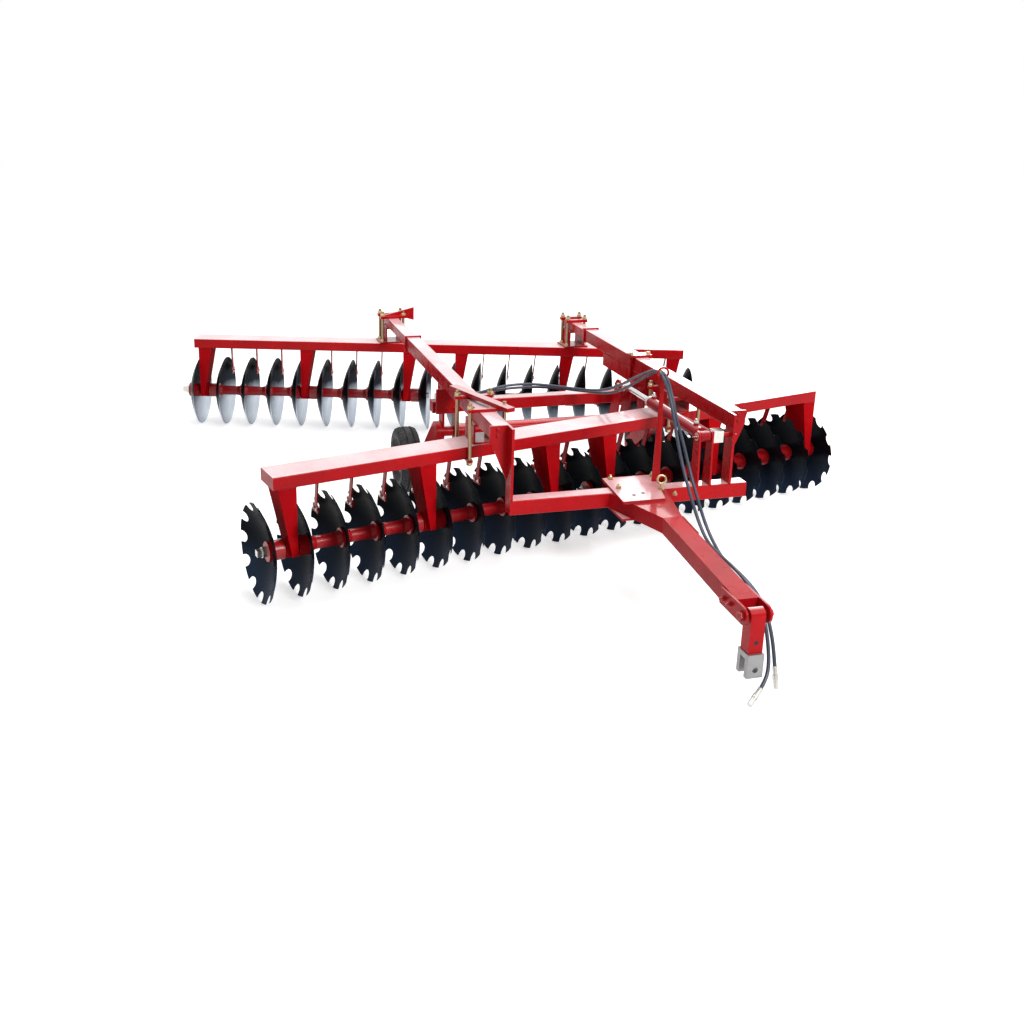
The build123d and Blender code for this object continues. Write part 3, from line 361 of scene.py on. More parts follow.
class Nodes:
    """Short ways to build a material's node tree."""

    def __init__(self, name):
        self.material = bpy.data.materials.new(name)
        self.material.use_nodes = True
        self.tree = self.material.node_tree
        self.shader = self.tree.nodes["Principled BSDF"]

    def add(self, kind, **inputs):
        """A new node, with values or links for its inputs."""
        node = self.tree.nodes.new(kind)
        for key, value in inputs.items():
            self.put(node.inputs[key.replace("_", " ")], value)
        return node

    def put(self, socket, value):
        """Links an output to a socket, or sets the socket to a value."""
        if isinstance(value, bpy.types.NodeSocket):
            self.tree.links.new(value, socket)
        else:
            socket.default_value = value

    def set_shader(self, **inputs):
        """Values or links for the shader's own inputs."""
        for key, value in inputs.items():
            self.put(self.shader.inputs[key.replace("_", " ")], value)

    def place(self):
        return self.add("ShaderNodeTexCoord").outputs["Object"]

    def noise(self, scale, detail=4.0, roughness=0.6):
        node = self.add("ShaderNodeTexNoise", Vector=self.place(), Scale=scale, Detail=detail,
                        Roughness=roughness)
        return node.outputs["Fac"]

    def ramp(self, value, low, high, out_low=0.0, out_high=1.0):
        """Maps low to high onto out_low to out_high, and holds those two beyond."""
        node = self.add("ShaderNodeMapRange", Value=value, From_Min=low, From_Max=high,
                        To_Min=out_low, To_Max=out_high)
        return node.outputs["Result"]

    def math(self, operation, a, b):
        node = self.add("ShaderNodeMath")
        node.operation = operation
        self.put(node.inputs[0], a)
        self.put(node.inputs[1], b)
        return node.outputs[0]

    def vector_math(self, operation, a, b=(0.0, 0.0, 0.0)):
        node = self.add("ShaderNodeVectorMath")
        node.operation = operation
        self.put(node.inputs[0], a)
        self.put(node.inputs[1], b)
        return node.outputs["Value" if operation == "LENGTH" else "Vector"]

    def mix(self, factor, a, b):
        """A colour between two colours; each is a link or three numbers."""
        node = self.add("ShaderNodeMix")
        node.data_type = "RGBA"
        self.put(node.inputs["Factor"], factor)
        for socket, colour in ((node.inputs[6], a), (node.inputs[7], b)):
            self.put(socket, (*colour, 1.0) if isinstance(colour, tuple) else colour)
        return node.outputs[2]

    def upward(self):
        """1 on faces that look straight up, 0 on upright ones."""
        normal = self.add("ShaderNodeNewGeometry").outputs["True Normal"]
        height = self.add("ShaderNodeSeparateXYZ", Vector=normal).outputs["Z"]
        return self.ramp(height, 0.6, 0.98)

    def bump(self, height, strength, distance):
        node = self.add("ShaderNodeBump", Strength=strength, Distance=distance, Height=height)
        self.set_shader(Normal=node.outputs["Normal"])


# Pale colour of a painted sky reflection on the upper faces of glossy paint.
PAINTED_SKY_SHEEN = (0.88, 0.74, 0.76)
PAINT_DUST = (0.20, 0.10, 0.09)
CHIPPED = (0.045, 0.015, 0.015)
RUBBER_DUST = (0.16, 0.14, 0.12)


def paint(name, colour, dark, roughness=0.22, painted_sheen=0.45, specular=0.10, coat=1.0):
    """Glossy paint with uneven tone, a painted pale reflection of the sky on upper faces seen at a slant,
    dust and chipped specks.
    """
    n = Nodes(name)
    up = n.upward()
    tone = n.mix(n.ramp(n.noise(2.3, 5.0), 0.35, 0.7), colour, dark)
    slant = n.ramp(n.add("ShaderNodeLayerWeight").outputs["Facing"], 0.30, 0.72, 0.10, 1.0)
    # Painted reflection of the sky: the pale colour goes on upper faces seen at a slant, in uneven strength.
    sheen_strength = n.ramp(n.noise(2.2, 6.0, 0.6), 0.30, 0.70, 0.5 * painted_sheen, painted_sheen)
    painted_sheen_mask = n.math("MULTIPLY", n.math("MULTIPLY", up, slant), sheen_strength)
    dusty = n.ramp(n.noise(9.0, 6.0, 0.7), 0.58, 0.82, 0.0, 0.08)
    specks = n.ramp(n.noise(62.0, 3.0, 0.7), 0.725, 0.745, 0.0, 0.5)
    n.set_shader(
        Base_Color=n.mix(specks, n.mix(dusty, n.mix(painted_sheen_mask, tone, PAINTED_SKY_SHEEN), PAINT_DUST), CHIPPED),
        Roughness=n.ramp(n.noise(11.0, 5.0), 0.3, 0.75, roughness, roughness + 0.16),
        Specular_IOR_Level=specular, Coat_Weight=n.ramp(up, 0.0, 1.0, 0.02, coat),
        Coat_Roughness=0.08, Coat_IOR=1.6)
    n.bump(n.noise(42.0, 3.0), 0.05, 0.003)
    return n.material


def metal(name, colour, roughness, metallic=1.0, mottled=0.2):
    """Bare or plated metal with uneven sheen."""
    n = Nodes(name)
    darker = tuple(c * (1.0 - mottled) for c in colour)
    n.set_shader(
        Base_Color=n.mix(n.noise(18.0, 5.0), colour, darker),
        Roughness=n.ramp(n.noise(30.0, 4.0), 0.3, 0.7, roughness * 0.8, roughness * 1.3),
        Metallic=metallic)
    n.bump(n.noise(90.0, 3.0), 0.08, 0.002)
    return n.material


def disc_steel(name, row, colour, lower_reflection, metallic, roughness, specular=0.5, edge=1.0):
    """Disc steel with turning marks round the gang's axle, and a painted reflection that lightens its lower
    half towards the rim.
    """
    n = Nodes(name)
    hub = on_row(row, 0.0, 0.0, DISC_RADIUS)
    arm = n.vector_math("SUBTRACT", n.place(), tuple(hub))
    radius = n.vector_math("LENGTH", n.vector_math("CROSS_PRODUCT", arm, tuple(row_direction(row))))
    height = n.add("ShaderNodeSeparateXYZ", Vector=arm).outputs["Z"]
    marks = n.add("ShaderNodeTexNoise", Scale=240.0, Detail=3.0)
    marks.noise_dimensions = "1D"
    n.put(marks.inputs["W"], radius)
    patches = n.ramp(n.noise(9.0, 6.0, 0.6), 0.30, 0.70, -0.025, 0.025)
    # Painted reflection: the lower half of each disc gets the pale colour, more of it towards the rim.
    lower_half = n.ramp(n.math("ADD", height, patches), -0.13, 0.045, 1.0, 0.0)
    painted_reflection_mask = n.math("MULTIPLY", lower_half, n.ramp(radius, 0.10, 0.24, 0.35, 1.0))
    n.set_shader(
        Base_Color=n.mix(painted_reflection_mask, colour, lower_reflection),
        Roughness=n.ramp(marks.outputs["Fac"], 0.3, 0.7, roughness * 0.8, roughness * 1.25),
        Metallic=metallic, Specular_IOR_Level=specular, Specular_Tint=(edge, edge, edge, 1.0))
    n.bump(marks.outputs["Fac"], 0.10, 0.0008)
    return n.material


def rubber(name, colour, roughness, dusty=0.25):
    """Rubber with a little dust."""
    n = Nodes(name)
    dust = n.ramp(n.noise(12.0, 6.0, 0.7), 0.45, 0.8, 0.0, dusty)
    n.set_shader(
        Base_Color=n.mix(dust, colour, RUBBER_DUST),
        Roughness=n.ramp(n.noise(25.0, 4.0), 0.3, 0.7, roughness - 0.1, roughness + 0.1))
    n.bump(n.noise(120.0, 3.0), 0.15, 0.002)
    return n.material


RED = (0.45, 0.004, 0.007)
DARK_RED = (0.31, 0.003, 0.006)
MATERIALS = {
    "frame_paint": paint("frame_paint", RED, DARK_RED),
    # beam_paint is frame_paint with a far stronger painted sky reflection on its upper faces.
    "beam_paint": paint("beam_paint", RED, DARK_RED, painted_sheen=0.95),
    "cast_paint": paint("cast_paint", (0.42, 0.005, 0.009), (0.24, 0.003, 0.006),
                        roughness=0.26, painted_sheen=0.0, specular=0.45),
    "drawbar_paint": paint("drawbar_paint", (0.42, 0.004, 0.008), (0.27, 0.003, 0.006),
                           roughness=0.24, painted_sheen=0.03, coat=0.30),
    "plate_paint": paint("plate_paint", (0.43, 0.006, 0.010), (0.32, 0.005, 0.009),
                         roughness=0.30, painted_sheen=0.55, coat=0.5),
    "hanger_paint": paint("hanger_paint", RED, DARK_RED, roughness=0.36, painted_sheen=0.2, specular=0.0, coat=0.3),
    "weld_paint": paint("weld_paint", (0.36, 0.004, 0.007), (0.24, 0.003, 0.006), roughness=0.28, painted_sheen=0.1),
    "rim_paint": paint("rim_paint", (0.36, 0.006, 0.010), (0.26, 0.005, 0.010), roughness=0.30, painted_sheen=0.1),
    "cylinder_paint": paint("cylinder_paint", (0.31, 0.005, 0.010), (0.22, 0.004, 0.009),
                            roughness=0.26, painted_sheen=0.15),
    # The second colour of each disc material is a painted reflection on the discs' lower halves: bluish on
    # the front discs, bright silver on the rear ones.
    "disc_steel": disc_steel("disc_steel", "front", (0.0030, 0.0050, 0.0080), (0.022, 0.037, 0.068),
                             metallic=0.0, roughness=0.26, specular=0.012),
    "disc_steel_rear": disc_steel("disc_steel_rear", "rear", (0.022, 0.025, 0.031), (0.56, 0.61, 0.68),
                                  metallic=0.9, roughness=0.30, edge=0.35),
    "tyre_rubber": rubber("tyre_rubber", (0.016, 0.017, 0.020), 0.75),
    "hose_rubber": rubber("hose_rubber", (0.026, 0.037, 0.062), 0.40, dusty=0.10),
    "zinc": metal("zinc", (0.62, 0.61, 0.57), 0.32),
    "yellow_zinc": metal("yellow_zinc", (0.56, 0.46, 0.26), 0.34),
    "rod_zinc": metal("rod_zinc", (0.38, 0.27, 0.16), 0.40),
    "bare_steel": metal("bare_steel", (0.30, 0.30, 0.30), 0.45, metallic=0.8),
    "chrome_rod": metal("chrome_rod", (0.75, 0.76, 0.78), 0.12, mottled=0.05),
    "painted_hole_shade": rubber("painted_hole_shade", (0.006, 0.005, 0.005), 0.8, dusty=0.05),
}

# CAD pieces whose material differs from that of their slot.
REPAINTED = {
    "disc_steel_rear": ("discs_rear_left", "discs_rear_right"),
    "beam_paint": ("gang_beam_front", "gang_beam_rear", "long_beam_left", "long_beam_right",
                   "rear_slide_left", "rear_slide_right", "portal_tube", "cross_tube"),
    "drawbar_paint": ("drawbar",),
    "plate_paint": ("drawbar_plates",),
    "zinc": ("stay",),
    "cast_paint": tuple(f"gang_shaft_{row}_{side}" for row in ROWS for side in SIDES),
    "hanger_paint": tuple(f"hangers_{row}_{side}" for row in ROWS for side in SIDES),
}


def dress_frame():
    """Every CAD piece gets its slot's material or the one named for it; the bar of the stay is painted."""
    slots = {entry["node"]: entry["material_slot"] for entry in frame["record"]["subparts"]}
    for node, obj in frame["nodes"].items():
        obj.data.materials.clear()
        obj.data.materials.append(MATERIALS[slots[node]])
    for material, nodes in REPAINTED.items():
        for node in nodes:
            frame["nodes"][node].data.materials[0] = MATERIALS[material]
    set_material("stay", "cylinder_paint", lambda centre: centre.y > STAY_BLOCK_END)


def set_material(node, name, test):
    """Gives the faces of a CAD piece whose centres pass a test another material."""
    mesh = frame["nodes"][node].data
    mesh.materials.append(MATERIALS[name])
    index = len(mesh.materials) - 1
    for face in mesh.polygons:
        if test(face.center):
            face.material_index = index


def area_light(name, place, target, size, power):
    """A rectangle of light that looks at a point."""
    data = bpy.data.lights.new(name, "AREA")
    data.shape = "RECTANGLE"
    data.size, data.size_y = size
    data.energy = power
    light = bpy.data.objects.new(name, data)
    bpy.context.scene.collection.objects.link(light)
    light.location = place
    light.rotation_euler = (Vector(target) - Vector(place)).to_track_quat("-Z", "Y").to_euler()


def background_rays(tree):
    """1 for rays that see the background directly, mirrored or through glass."""
    path = tree.nodes.new("ShaderNodeLightPath")
    total = path.outputs["Is Camera Ray"]
    for kind in ("Is Glossy Ray", "Is Transmission Ray"):
        add = tree.nodes.new("ShaderNodeMath")
        add.operation = "MAXIMUM"
        tree.links.new(total, add.inputs[0])
        tree.links.new(path.outputs[kind], add.inputs[1])
        total = add.outputs[0]
    return total


def make_floor():
    """White floor that keeps the shadow."""
    bpy.ops.mesh.primitive_plane_add(size=FLOOR_SIZE, location=(0.0, 0.0, 0.0))
    floor = bpy.context.object
    floor.name = "floor"
    n = Nodes("floor")
    away = n.vector_math("LENGTH", n.place())
    lift = n.math("MULTIPLY", background_rays(n.tree), n.ramp(away, *FLOOR_REACH, *FLOOR_LIFT))
    n.set_shader(
        Base_Color=(0.80, 0.80, 0.80, 1.0), Roughness=0.9, Specular_IOR_Level=0.0,
        Emission_Color=(1.0, 1.0, 1.0, 1.0), Emission_Strength=lift)
    floor.data.materials.append(n.material)


def make_surroundings():
    """White background for the camera and mirrored rays, and a dimmer light all round."""
    world = bpy.data.worlds.new("world")
    bpy.context.scene.world = world
    world.use_nodes = True
    tree = world.node_tree
    background = tree.nodes["Background"]
    background.inputs["Color"].default_value = (1.0, 1.0, 1.0, 1.0)
    strength = tree.nodes.new("ShaderNodeMapRange")
    strength.inputs["To Min"].default_value = WORLD_LIGHT
    strength.inputs["To Max"].default_value = 1.0
    tree.links.new(background_rays(tree), strength.inputs["Value"])
    tree.links.new(strength.outputs["Result"], background.inputs["Strength"])


def make_lights():
    """Soft studio light from the front right, from above and from behind."""
    area_light("key", place=(2.5, -8.5, 6.0), target=(0.0, 0.0, 0.5), size=(3.0, 3.0), power=620.0)
    area_light("top", place=(0.5, 1.5, 7.0), target=(0.0, 0.5, 0.5), size=(8.0, 6.0), power=480.0)
    area_light("rear", place=(5.0, 6.0, 4.0), target=(0.0, 0.0, 0.5), size=(3.0, 3.0), power=140.0)


class Shapes:
    """Collects small turned, bent and boxed shapes into one mesh object that rides on a body."""

    def __init__(self, name, body, slot, material=None, smooth=False):
        self.name = name
        self.body = body
        self.slot = slot
        self.material = material or slot
        self.smooth = smooth
        self.mesh = bmesh.new()

    def join(self, rings):
        """Joins closed rings of points into a capped shell."""
        loops = [[self.mesh.verts.new(point) for point in ring] for ring in rings]
        count = len(loops[0])
        for low_ring, high_ring in zip(loops, loops[1:]):
            for k in range(count):
                nearby = (k + 1) % count
                self.mesh.faces.new((low_ring[k], low_ring[nearby], high_ring[nearby], high_ring[k]))
        self.mesh.faces.new(loops[0][::-1])
        self.mesh.faces.new(loops[-1])

    def turned(self, profile, place, axis, sides=24):
        """A solid turned about an axis: profile gives (height, radius) from its base, in metres."""
        turn = Z.rotation_difference(Vector(axis).normalized()).to_matrix()
        rings = []
        for height, radius in profile:
            ring = []
            for k in range(sides):
                angle = 2 * math.pi * (k + 0.5) / sides
                offset = Vector((radius * math.cos(angle), radius * math.sin(angle), height))
                ring.append(Vector(place) + turn @ offset)
            rings.append(ring)
        self.join(rings)

    def bevelled(self, place, axis, radius, height, bevel, sides=24):
        """A disc or prism with both of its edges bevelled."""
        self.turned([(0.0, radius - bevel), (bevel, radius), (height - bevel, radius),
                     (height, radius - bevel)], place, axis, sides)

    def washer(self, place, axis, radius, thickness=WASHER_THICKNESS):
        self.bevelled(place, axis, radius, thickness, WASHER_BEVEL)

    def nut(self, place, axis, radius, height):
        """Hexagon with bevelled corners; radius reaches its corners."""
        self.bevelled(place, axis, radius, height, HEAD_BEVEL * radius, 6)

    def seated_nut(self, place, axis, radius, height, washer_radius, thickness=WASHER_THICKNESS):
        """A washer on a face and a nut on the washer."""
        self.washer(place, axis, washer_radius, thickness)
        self.nut(place + axis * thickness, axis, radius, height)

    def bolt(self, place, axis, radius, tip=0.0):
        """Washer and hexagon head, and the thread's end beyond it."""
        place, axis = Vector(place), Vector(axis).normalized()
        head = HEAD_HEIGHT * radius
        self.seated_nut(place, axis, radius, head, HEAD_WASHER * radius)
        if tip:
            self.thread(place + axis * (WASHER_THICKNESS + head), axis, HEAD_THREAD * radius, tip)

    def pin_end(self, place, axis, end):
        """Washer and split ring at the end of a pin."""
        self.washer(place, axis, end["washer"], PIN_WASHER_THICKNESS)
        self.hoop(place + axis * end["past"], Z + end["lean"] * Y, end["ring"], RING_WIRE)

    def thread(self, place, axis, radius, length, pitch=0.003):
        """A threaded end with one ring for each crest and root."""
        profile = []
        for k in range(int(length / pitch) + 1):
            profile.append((k * pitch, radius * THREAD_ROOT))
            profile.append(((k + 0.5) * pitch, radius))
        self.turned(profile, place, axis, 12)

    def hole(self, place, axis, radius):
        """Painted shade in a hole, as a thin dark disc."""
        self.turned([(0.0, radius), (HOLE_DEPTH, radius)], place, axis)

    def bead(self, start, end, radius=0.005, step=0.006):
        """A rippled weld along a seam."""
        start, end = Vector(start), Vector(end)
        along = (end - start).normalized()
        count = max(3, int((end - start).length / step))
        profile = []
        for k in range(count + 1):
            ripple = 1.0
            for share, turn in RIPPLES:
                ripple += share * math.sin(turn * k)
            taper = BEAD_END if k in (0, count) else 1.0
            profile.append(((end - start).length * k / count, radius * ripple * taper))
        self.turned(profile, start, along, 6)

    def box(self, centre, size, directions):
        """A bar with bevelled ends along the first of three directions."""
        u, v, w = (Vector(d).normalized() for d in directions)
        half_u, half_v, half_w = (s / 2 for s in size)
        bevel = 0.2 * min(half_v, half_w, half_u)
        corners = ((-1, -1), (1, -1), (1, 1), (-1, 1))
        rings = []
        for reach, cut in ((-half_u, bevel), (-half_u + bevel, 0.0), (half_u - bevel, 0.0), (half_u, bevel)):
            rings.append([Vector(centre) + u * reach + v * a * (half_v - cut) + w * b * (half_w - cut)
                          for a, b in corners])
        self.join(rings)

    def hoop(self, centre, axis, radius, wire, sides=24, wire_sides=8):
        """A round ring of wire."""
        turn = Z.rotation_difference(Vector(axis).normalized()).to_matrix()
        loops = []
        for k in range(sides):
            angle = 2 * math.pi * k / sides
            out = Vector((math.cos(angle), math.sin(angle), 0.0))
            loop = []
            for m in range(wire_sides):
                around = 2 * math.pi * m / wire_sides
                offset = out * (radius + wire * math.cos(around)) + Vector((0, 0, wire * math.sin(around)))
                loop.append(self.mesh.verts.new(Vector(centre) + turn @ offset))
            loops.append(loop)
        for k in range(sides):
            near, far = loops[k], loops[(k + 1) % sides]
            for m in range(wire_sides):
                beside = (m + 1) % wire_sides
                self.mesh.faces.new((near[m], near[beside], far[beside], far[m]))

    def finish(self):
        """Makes the object, with its material and body."""
        bmesh.ops.recalc_face_normals(self.mesh, faces=self.mesh.faces)
        data = bpy.data.meshes.new(self.name)
        self.mesh.to_mesh(data)
        self.mesh.free()
        if self.smooth:
            data.shade_smooth()
        data.materials.append(MATERIALS[self.material])
        piece = bpy.data.objects.new(self.name, data)
        bpy.context.scene.collection.objects.link(piece)
        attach(piece, self.body)
        return piece


def clamp_rods(end, side):
    """Middles of the four rods of a clamp."""
    x = BEAM_CENTRES[side]
    y = row_axis_y(end, x)
    reach = FRONT_RODS if end == "front" else REAR_RODS[side]
    return [(x + a * reach[0], y + b * reach[1]) for a in (-1, 1) for b in (-1, 1)]


def paint_rods(end, side):
    """Brownish zinc on the four rods of a clamp."""
    places = [at(x, y, 0) for x, y in clamp_rods(end, side)]
    reach = (ROD_RADIUS + ROD_MARGIN) / 1000

    def on_rod(centre):
        return any((centre - place).xy.length < reach for place in places)

    set_material(f"clamp_{end}_{side}", "rod_zinc", on_rod)


def dress_clamps():
    """Yellow nuts and washers at the ends of the clamp rods and on the strap over the cross tube."""
    nuts = Shapes("clamp_nuts", "frame", "zinc", "yellow_zinc")
    for (end, side), (top, bottom) in CLAMP_FACES.items():
        paint_rods(end, side)
        for x, y in clamp_rods(end, side):
            nuts.seated_nut(at(x, y, top), Z, *CLAMP_NUTS["above"])
            if bottom:
                nuts.seated_nut(at(x, y, bottom), -Z, *CLAMP_NUTS["below"])
            else:
                nuts.seated_nut(at(x, y, CLAMP_PLATE_TOP), Z, *CLAMP_NUTS["on plate"])
    for x in CROSS_STRAP["rods"]:
        nuts.seated_nut(at(x, CROSS_STRAP["y"], CROSS_STRAP["top"]), Z, *CLAMP_NUTS["strap"])
    nuts.finish()


def paint_shaft_nuts(row, side):
    """Zinc on the two end nuts of a gang's shaft."""
    axis = row_direction(row)
    hub = on_row(row, 0.0, 0.0, DISC_RADIUS)
    start = ((FIRST_DISCS[side] - 1) * DISC_PITCH - SHAFT_NUT_START) / 1000
    end = ((FIRST_DISCS[side] + DISCS_PER_GANG - 2) * DISC_PITCH + SHAFT_NUT_START) / 1000

    def is_nut(centre):
        along = (centre - hub).dot(axis)
        return along < start or along > end

    set_material(f"gang_shaft_{row}_{side}", "zinc", is_nut)


def dress_bearings(row, side):
    """A grease nipple on each bearing of a gang."""
    nipples = Shapes(f"bearing_nipples_{row}_{side}", "frame", "zinc")
    y, z = NIPPLE["y"], DISC_RADIUS + NIPPLE["rise"]
    for centre in hanger_places(FIRST_DISCS[side]):
        outward = on_row(row, centre, y, z) - on_row(row, centre, 0.0, DISC_RADIUS)
        nipples.turned(GREASE_NIPPLE, on_row(row, centre + NIPPLE["x"], y, z), outward, 8)
    nipples.finish()


def dress_scrapers(row, side):
    """Two bolts at the foot of each scraper of a gang."""
    bolts = Shapes(f"scraper_bolts_{row}_{side}", "frame", "zinc")
    place = ROWS[row]
    direction = row_direction(row) * place["side"]
    first = FIRST_DISCS[side]
    for disc in range(first, first + DISCS_PER_GANG):
        if disc == place["bare"]:
            continue
        x = (disc - 1) * DISC_PITCH + place["side"] * (SCRAPER_FOOT["x"] + SCRAPER_HALF_THICKNESS)
        z = SCRAPER_FOOT["z"] - SCRAPER_BOLTS["below"]
        for apart in (-SCRAPER_BOLTS["apart"], SCRAPER_BOLTS["apart"]):
            bolts.bolt(on_row(row, x, SCRAPER_FOOT["y"] + apart, z), direction, *BOLTS["scraper"])
    bolts.finish()


def dress_gangs():
    """End nuts, grease nipples and scraper bolts of the four gangs."""
    for row in ROWS:
        for side in SIDES:
            paint_shaft_nuts(row, side)
            dress_bearings(row, side)
            dress_scrapers(row, side)


def weld_hangers(welds):
    """Along the head of every hanger's face plate and web."""
    face = -HANGER_HALF_DEPTH - WELD_OUT
    web = HANGER_HALF_DEPTH - WELD_SHORT
    z = GANG_BEAM_BOTTOM - WELD_OUT
    for row, place in ROWS.items():
        for side in SIDES:
            for centre in hanger_places(FIRST_DISCS[side]):
                straight = centre - place["side"] * HANGER_TIP_WIDTH / 2
                slant = straight + place["side"] * HANGER_TOP_WIDTH
                welds.bead(on_row(row, straight, face, z), on_row(row, slant, face, z))
                welds.bead(on_row(row, slant, -web, z), on_row(row, slant, web, z))


def weld_portal(welds):
    """Where the posts and the plates of the mast stand on the portal tube."""
    front, z = PORTAL["front"] - WELD_OUT, PORTAL["top"] + WELD_OUT
    for side, inward in (("left", 1), ("right", -1)):
        x = BEAM_CENTRES[side] + inward * BEAM_HALF_WIDTH
        welds.bead(at(x, front, z), at(x - inward * POST_PLATE, front, z))
    for plate in ((-MAST_OUTSIDE, -MAST_INSIDE), (MAST_INSIDE, MAST_OUTSIDE)):
        x0, x1 = (MAST_X + offset for offset in plate)
        for x in (x0, x1):
            welds.bead(at(x, PORTAL["front"], z), at(x, PORTAL["rear"], z))
        welds.bead(at(x0, front, z), at(x1, front, z), THIN_BEAD)


def weld_beams(welds):
    """Where the rocker's brackets, the slides, the cross tube and the saddles meet the long beams."""
    low, high = BEAM_BOTTOM - WELD_OUT, BEAM_TOP + WELD_OUT
    collar, cross = COLLAR_SEAM, CROSS_SEAM
    half_width, half_length = SADDLE_SEAM["half_width"], SADDLE_SEAM["half_length"]
    for side in SIDES:
        x = BEAM_CENTRES[side]
        left, right = x - BEAM_HALF_WIDTH, x + BEAM_HALF_WIDTH
        for edge in (left, right):
            welds.bead(at(edge, BRACKET_SEAM[0], low), at(edge, BRACKET_SEAM[1], low))
            beside = x + (edge - x) * collar["spread"]
            welds.bead(at(beside, collar["y"], collar["low"]),
                       at(beside, collar["y"], collar["high"]), THIN_BEAD)
        welds.bead(at(left, collar["y"], high), at(right, collar["y"], high))
        welds.bead(at(x - cross["half"], cross["y"], cross["z"]),
                   at(x + cross["half"], cross["y"], cross["z"]), THIN_BEAD)
        for end, foot in (("front", GANG_BEAM_TOP), ("rear", CLAMP_PLATE_TOP)):
            y, z = row_axis_y(end, x), foot + WELD_OUT
            for edge in (x - half_width, x + half_width):
                welds.bead(at(edge, y - half_length, z), at(edge, y + half_length, z))


def weld_drawbar(welds):
    """Where the drawbar's plates meet the portal tube, and along the edges of its sloping stretch."""
    x0, x1 = UNDER_PLATE_SEAM
    front, z = PORTAL["front"] - WELD_OUT, PORTAL["bottom"] - WELD_OUT
    welds.bead(at(x0, front, z), at(x1, front, z), THIN_BEAD)
    for side in (-1, 1):
        x = DRAWBAR_X + side * (DRAWBAR_HALF_WIDTH + WELD_OUT)
        welds.bead(at(x, *DRAWBAR_SEAM["start"]), at(x, *DRAWBAR_SEAM["end"]), THIN_BEAD)
    x0, x1 = TOP_PLATE_SEAM["x"]
    y, z = TOP_PLATE_SEAM["y"], PORTAL["top"] + WELD_OUT
    welds.bead(at(x0, y, z), at(x1, y, z))


def dress_frame_welds():
    """Weld beads where plates meet the tubes."""
    welds = Shapes("frame_welds", "frame", "frame_paint", "weld_paint", smooth=True)
    weld_hangers(welds)
    weld_portal(welds)
    weld_beams(welds)
    weld_drawbar(welds)
    welds.finish()


def dress_hitch():
    """Painted washer, nut and bolts on both cheeks of the drawbar."""
    pins = Shapes("hitch_pin_washers", "frame", "frame_paint", "cast_paint")
    y, z = HITCH_PIVOT
    for side in (-1, 1):
        face = DRAWBAR_X + side * CHEEK_FACE
        outward = X * side
        pins.seated_nut(at(face, y, z), outward, *HITCH_NUT, PIN_WASHER_THICKNESS)
        for behind in CHEEK_BOLTS["behind"]:
            pins.bolt(at(face, y + behind, z + CHEEK_BOLTS["above"]), outward, *BOLTS["cheek"])
    pins.finish()


def dress_mast():
    """Zinc washers and split rings at both ends of the mast's pin."""
    ends = Shapes("mast_pin_washers", "frame", "zinc")
    for face, side in MAST_PIN_ENDS:
        ends.pin_end(at(face, MAST_PIN_Y, PIN_HEIGHT), X * side, MAST_PIN_END)
    ends.finish()


def dress_plates():
    """Bolts and eye bolt of the drawbar's top plate."""
    bolts = Shapes("plate_bolts", "frame", "zinc", "yellow_zinc")
    z = TOP_PLATE_HEIGHT
    for x, y in PLATE_BOLTS:
        bolts.bolt((x, y, z), Z, *BOLTS["plate"])
    bolts.hoop((*EYE_BOLT, z + EYE["rise"]), Y + EYE["lean"] * X, EYE["radius"], EYE["wire"])
    bolts.turned(EYE_SHANK, (*EYE_BOLT, z), Z, 12)
    bolts.bolt((*EYE_BOLT, z), Z, *BOLTS["eye"])
    bolts.bolt((*SMALL_BOLT, z), Z, *BOLTS["small"])
    bolts.finish()


def dress_brackets():
    """Painted bolts on the face plates of the rocker's brackets and on the portal posts."""
    painted = Shapes("bracket_bolts", "frame", "frame_paint")
    for side, outward in (("left", -1), ("right", 1)):
        x = BEAM_CENTRES[side]
        for offset in BRACKET_BOLTS["x"]:
            for z in BRACKET_BOLTS["z"]:
                painted.bolt(at(x + offset, BRACKET_BOLTS["y"], z), -Y, *BOLTS["bracket"])
        for z in POST_BOLTS["z"]:
            painted.bolt(at(x + outward * POST_BOLTS["outward"], POST_BOLTS["y"], z), -Y, *BOLTS["post"])
    painted.finish()


def dress_holes():
    """Painted shade in the holes of the top plate and of the tongue, as thin dark discs."""
    holes = Shapes("plate_holes", "frame", "frame_paint", "painted_hole_shade")
    for x, y in PLATE_HOLES:
        holes.hole((x, y, TOP_PLATE_HEIGHT), Z, PLATE_HOLE_RADIUS)
    holes.finish()
    hole = Shapes("tongue_hole", "hitch_tongue", "frame_paint", "painted_hole_shade")
    hole.hole(at(DRAWBAR_X, *TONGUE_HOLE), -Y, TONGUE_HOLE_RADIUS)
    hole.finish()


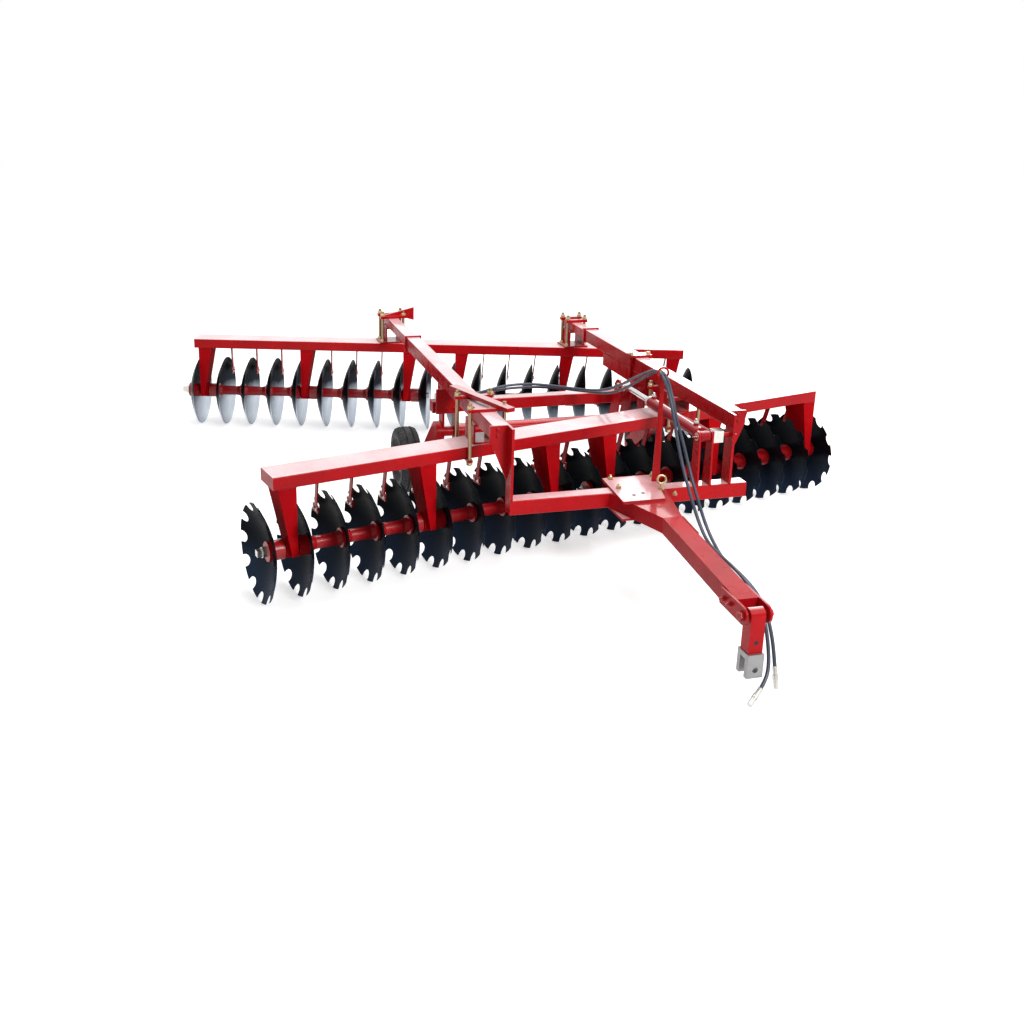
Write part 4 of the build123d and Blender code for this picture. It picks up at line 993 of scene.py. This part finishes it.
def dress_cylinder():
    """End ring, ports, gland and hose unions of the cylinder, and washers and rings at its rod's pin."""
    x, y, z = MAST_X, BARREL_FRONT_Y, PIN_HEIGHT
    trim = Shapes("cylinder_trim", "cylinder_barrel", "cylinder_paint")
    trim.turned(END_RING, at(x, y + BARREL_RING, z), Y, 32)
    for port in BARREL_PORTS:
        trim.turned(PORT, at(x, y + port, z + PORT_RISE), Z, 20)
    trim.finish()
    fittings = Shapes("cylinder_fittings", "cylinder_barrel", "zinc")
    fittings.turned(GLAND, at(x, y + BARREL_GLAND, z), Y, 12)
    for port in BARREL_PORTS:
        fittings.nut(at(x, y + port, z + UNION_RISE), Z, *UNION_NUT)
        fittings.turned(UNION_TOP, at(x, y + port, z + UNION_TOP_RISE), Z, 16)
    fittings.finish()
    rod = Shapes("cylinder_rod_washers", "cylinder_rod", "zinc", "yellow_zinc")
    for side in (-1, 1):
        rod.pin_end(at(x + side * CRANK_PIN_REACH, CRANK_PIN_Y, z), X * side, CRANK_PIN_END)
    rod.finish()


def tread_tyre(side, centre):
    """Slanting tread blocks round both shoulders of a tyre, and ribs on its side walls."""
    tread = Shapes(f"tyre_tread_{side}", f"wheel_{side}", "tyre_rubber")
    for k in range(TREAD_BLOCKS):
        for edge in (-1, 1):
            angle = 2 * math.pi * (k + (0.5 if edge > 0 else 0.0)) / TREAD_BLOCKS
            out = spoke(angle)
            around = spoke(angle + math.pi / 2)
            lean = (X * edge - out * TREAD["lean"]).normalized()
            middle = centre + out * TREAD["radius"] + X * edge * TREAD["aside"]
            tread.box(middle, TREAD["block"], (lean, around, lean.cross(around)))
    for edge in (-1, 1):
        for radius, reach in RIBS:
            tread.hoop(centre + X * edge * reach, X, radius, RIB_WIRE, RIB_SIDES)
    tread.finish()


def bolt_wheel(side, centre, outward):
    """Five wheel bolts seen from both faces of the rim, and the tyre's valve."""
    studs = Shapes(f"wheel_bolts_{side}", f"wheel_{side}", "zinc")
    bolts, valve = WHEEL_BOLTS, VALVE_PLACE
    for k in range(bolts["count"]):
        out = spoke(2 * math.pi * k / bolts["count"] + bolts["turned"])
        for face, kind in ((-1, "wheel, left face"), (1, "wheel, right face")):
            studs.bolt(centre + out * bolts["circle"] + X * face * bolts["face"], X * face, *BOLTS[kind])
    studs.turned(VALVE, centre + Z * valve["rise"] + X * outward * valve["outward"],
                 X * outward + valve["lean"] * Z, 10)
    studs.finish()


def dress_wheels():
    """Tread, ribs, bolts and valve of both wheels."""
    for side, outward in (("left", -1), ("right", 1)):
        centre = at(FRAME_CENTRE + outward * WHEEL_OFFSET, WHEEL_Y, TYRE_RADIUS)
        tread_tyre(side, centre)
        bolt_wheel(side, centre, outward)


make_camera()
for hose_side in HOSES:
    make_hose(hose_side)
dress_frame()
dress_clamps()
dress_gangs()
dress_frame_welds()
dress_hitch()
dress_mast()
dress_plates()
dress_brackets()
dress_holes()
dress_cylinder()
dress_wheels()
make_floor()
make_surroundings()
make_lights()
bpy.context.scene.view_settings.view_transform = "Standard"
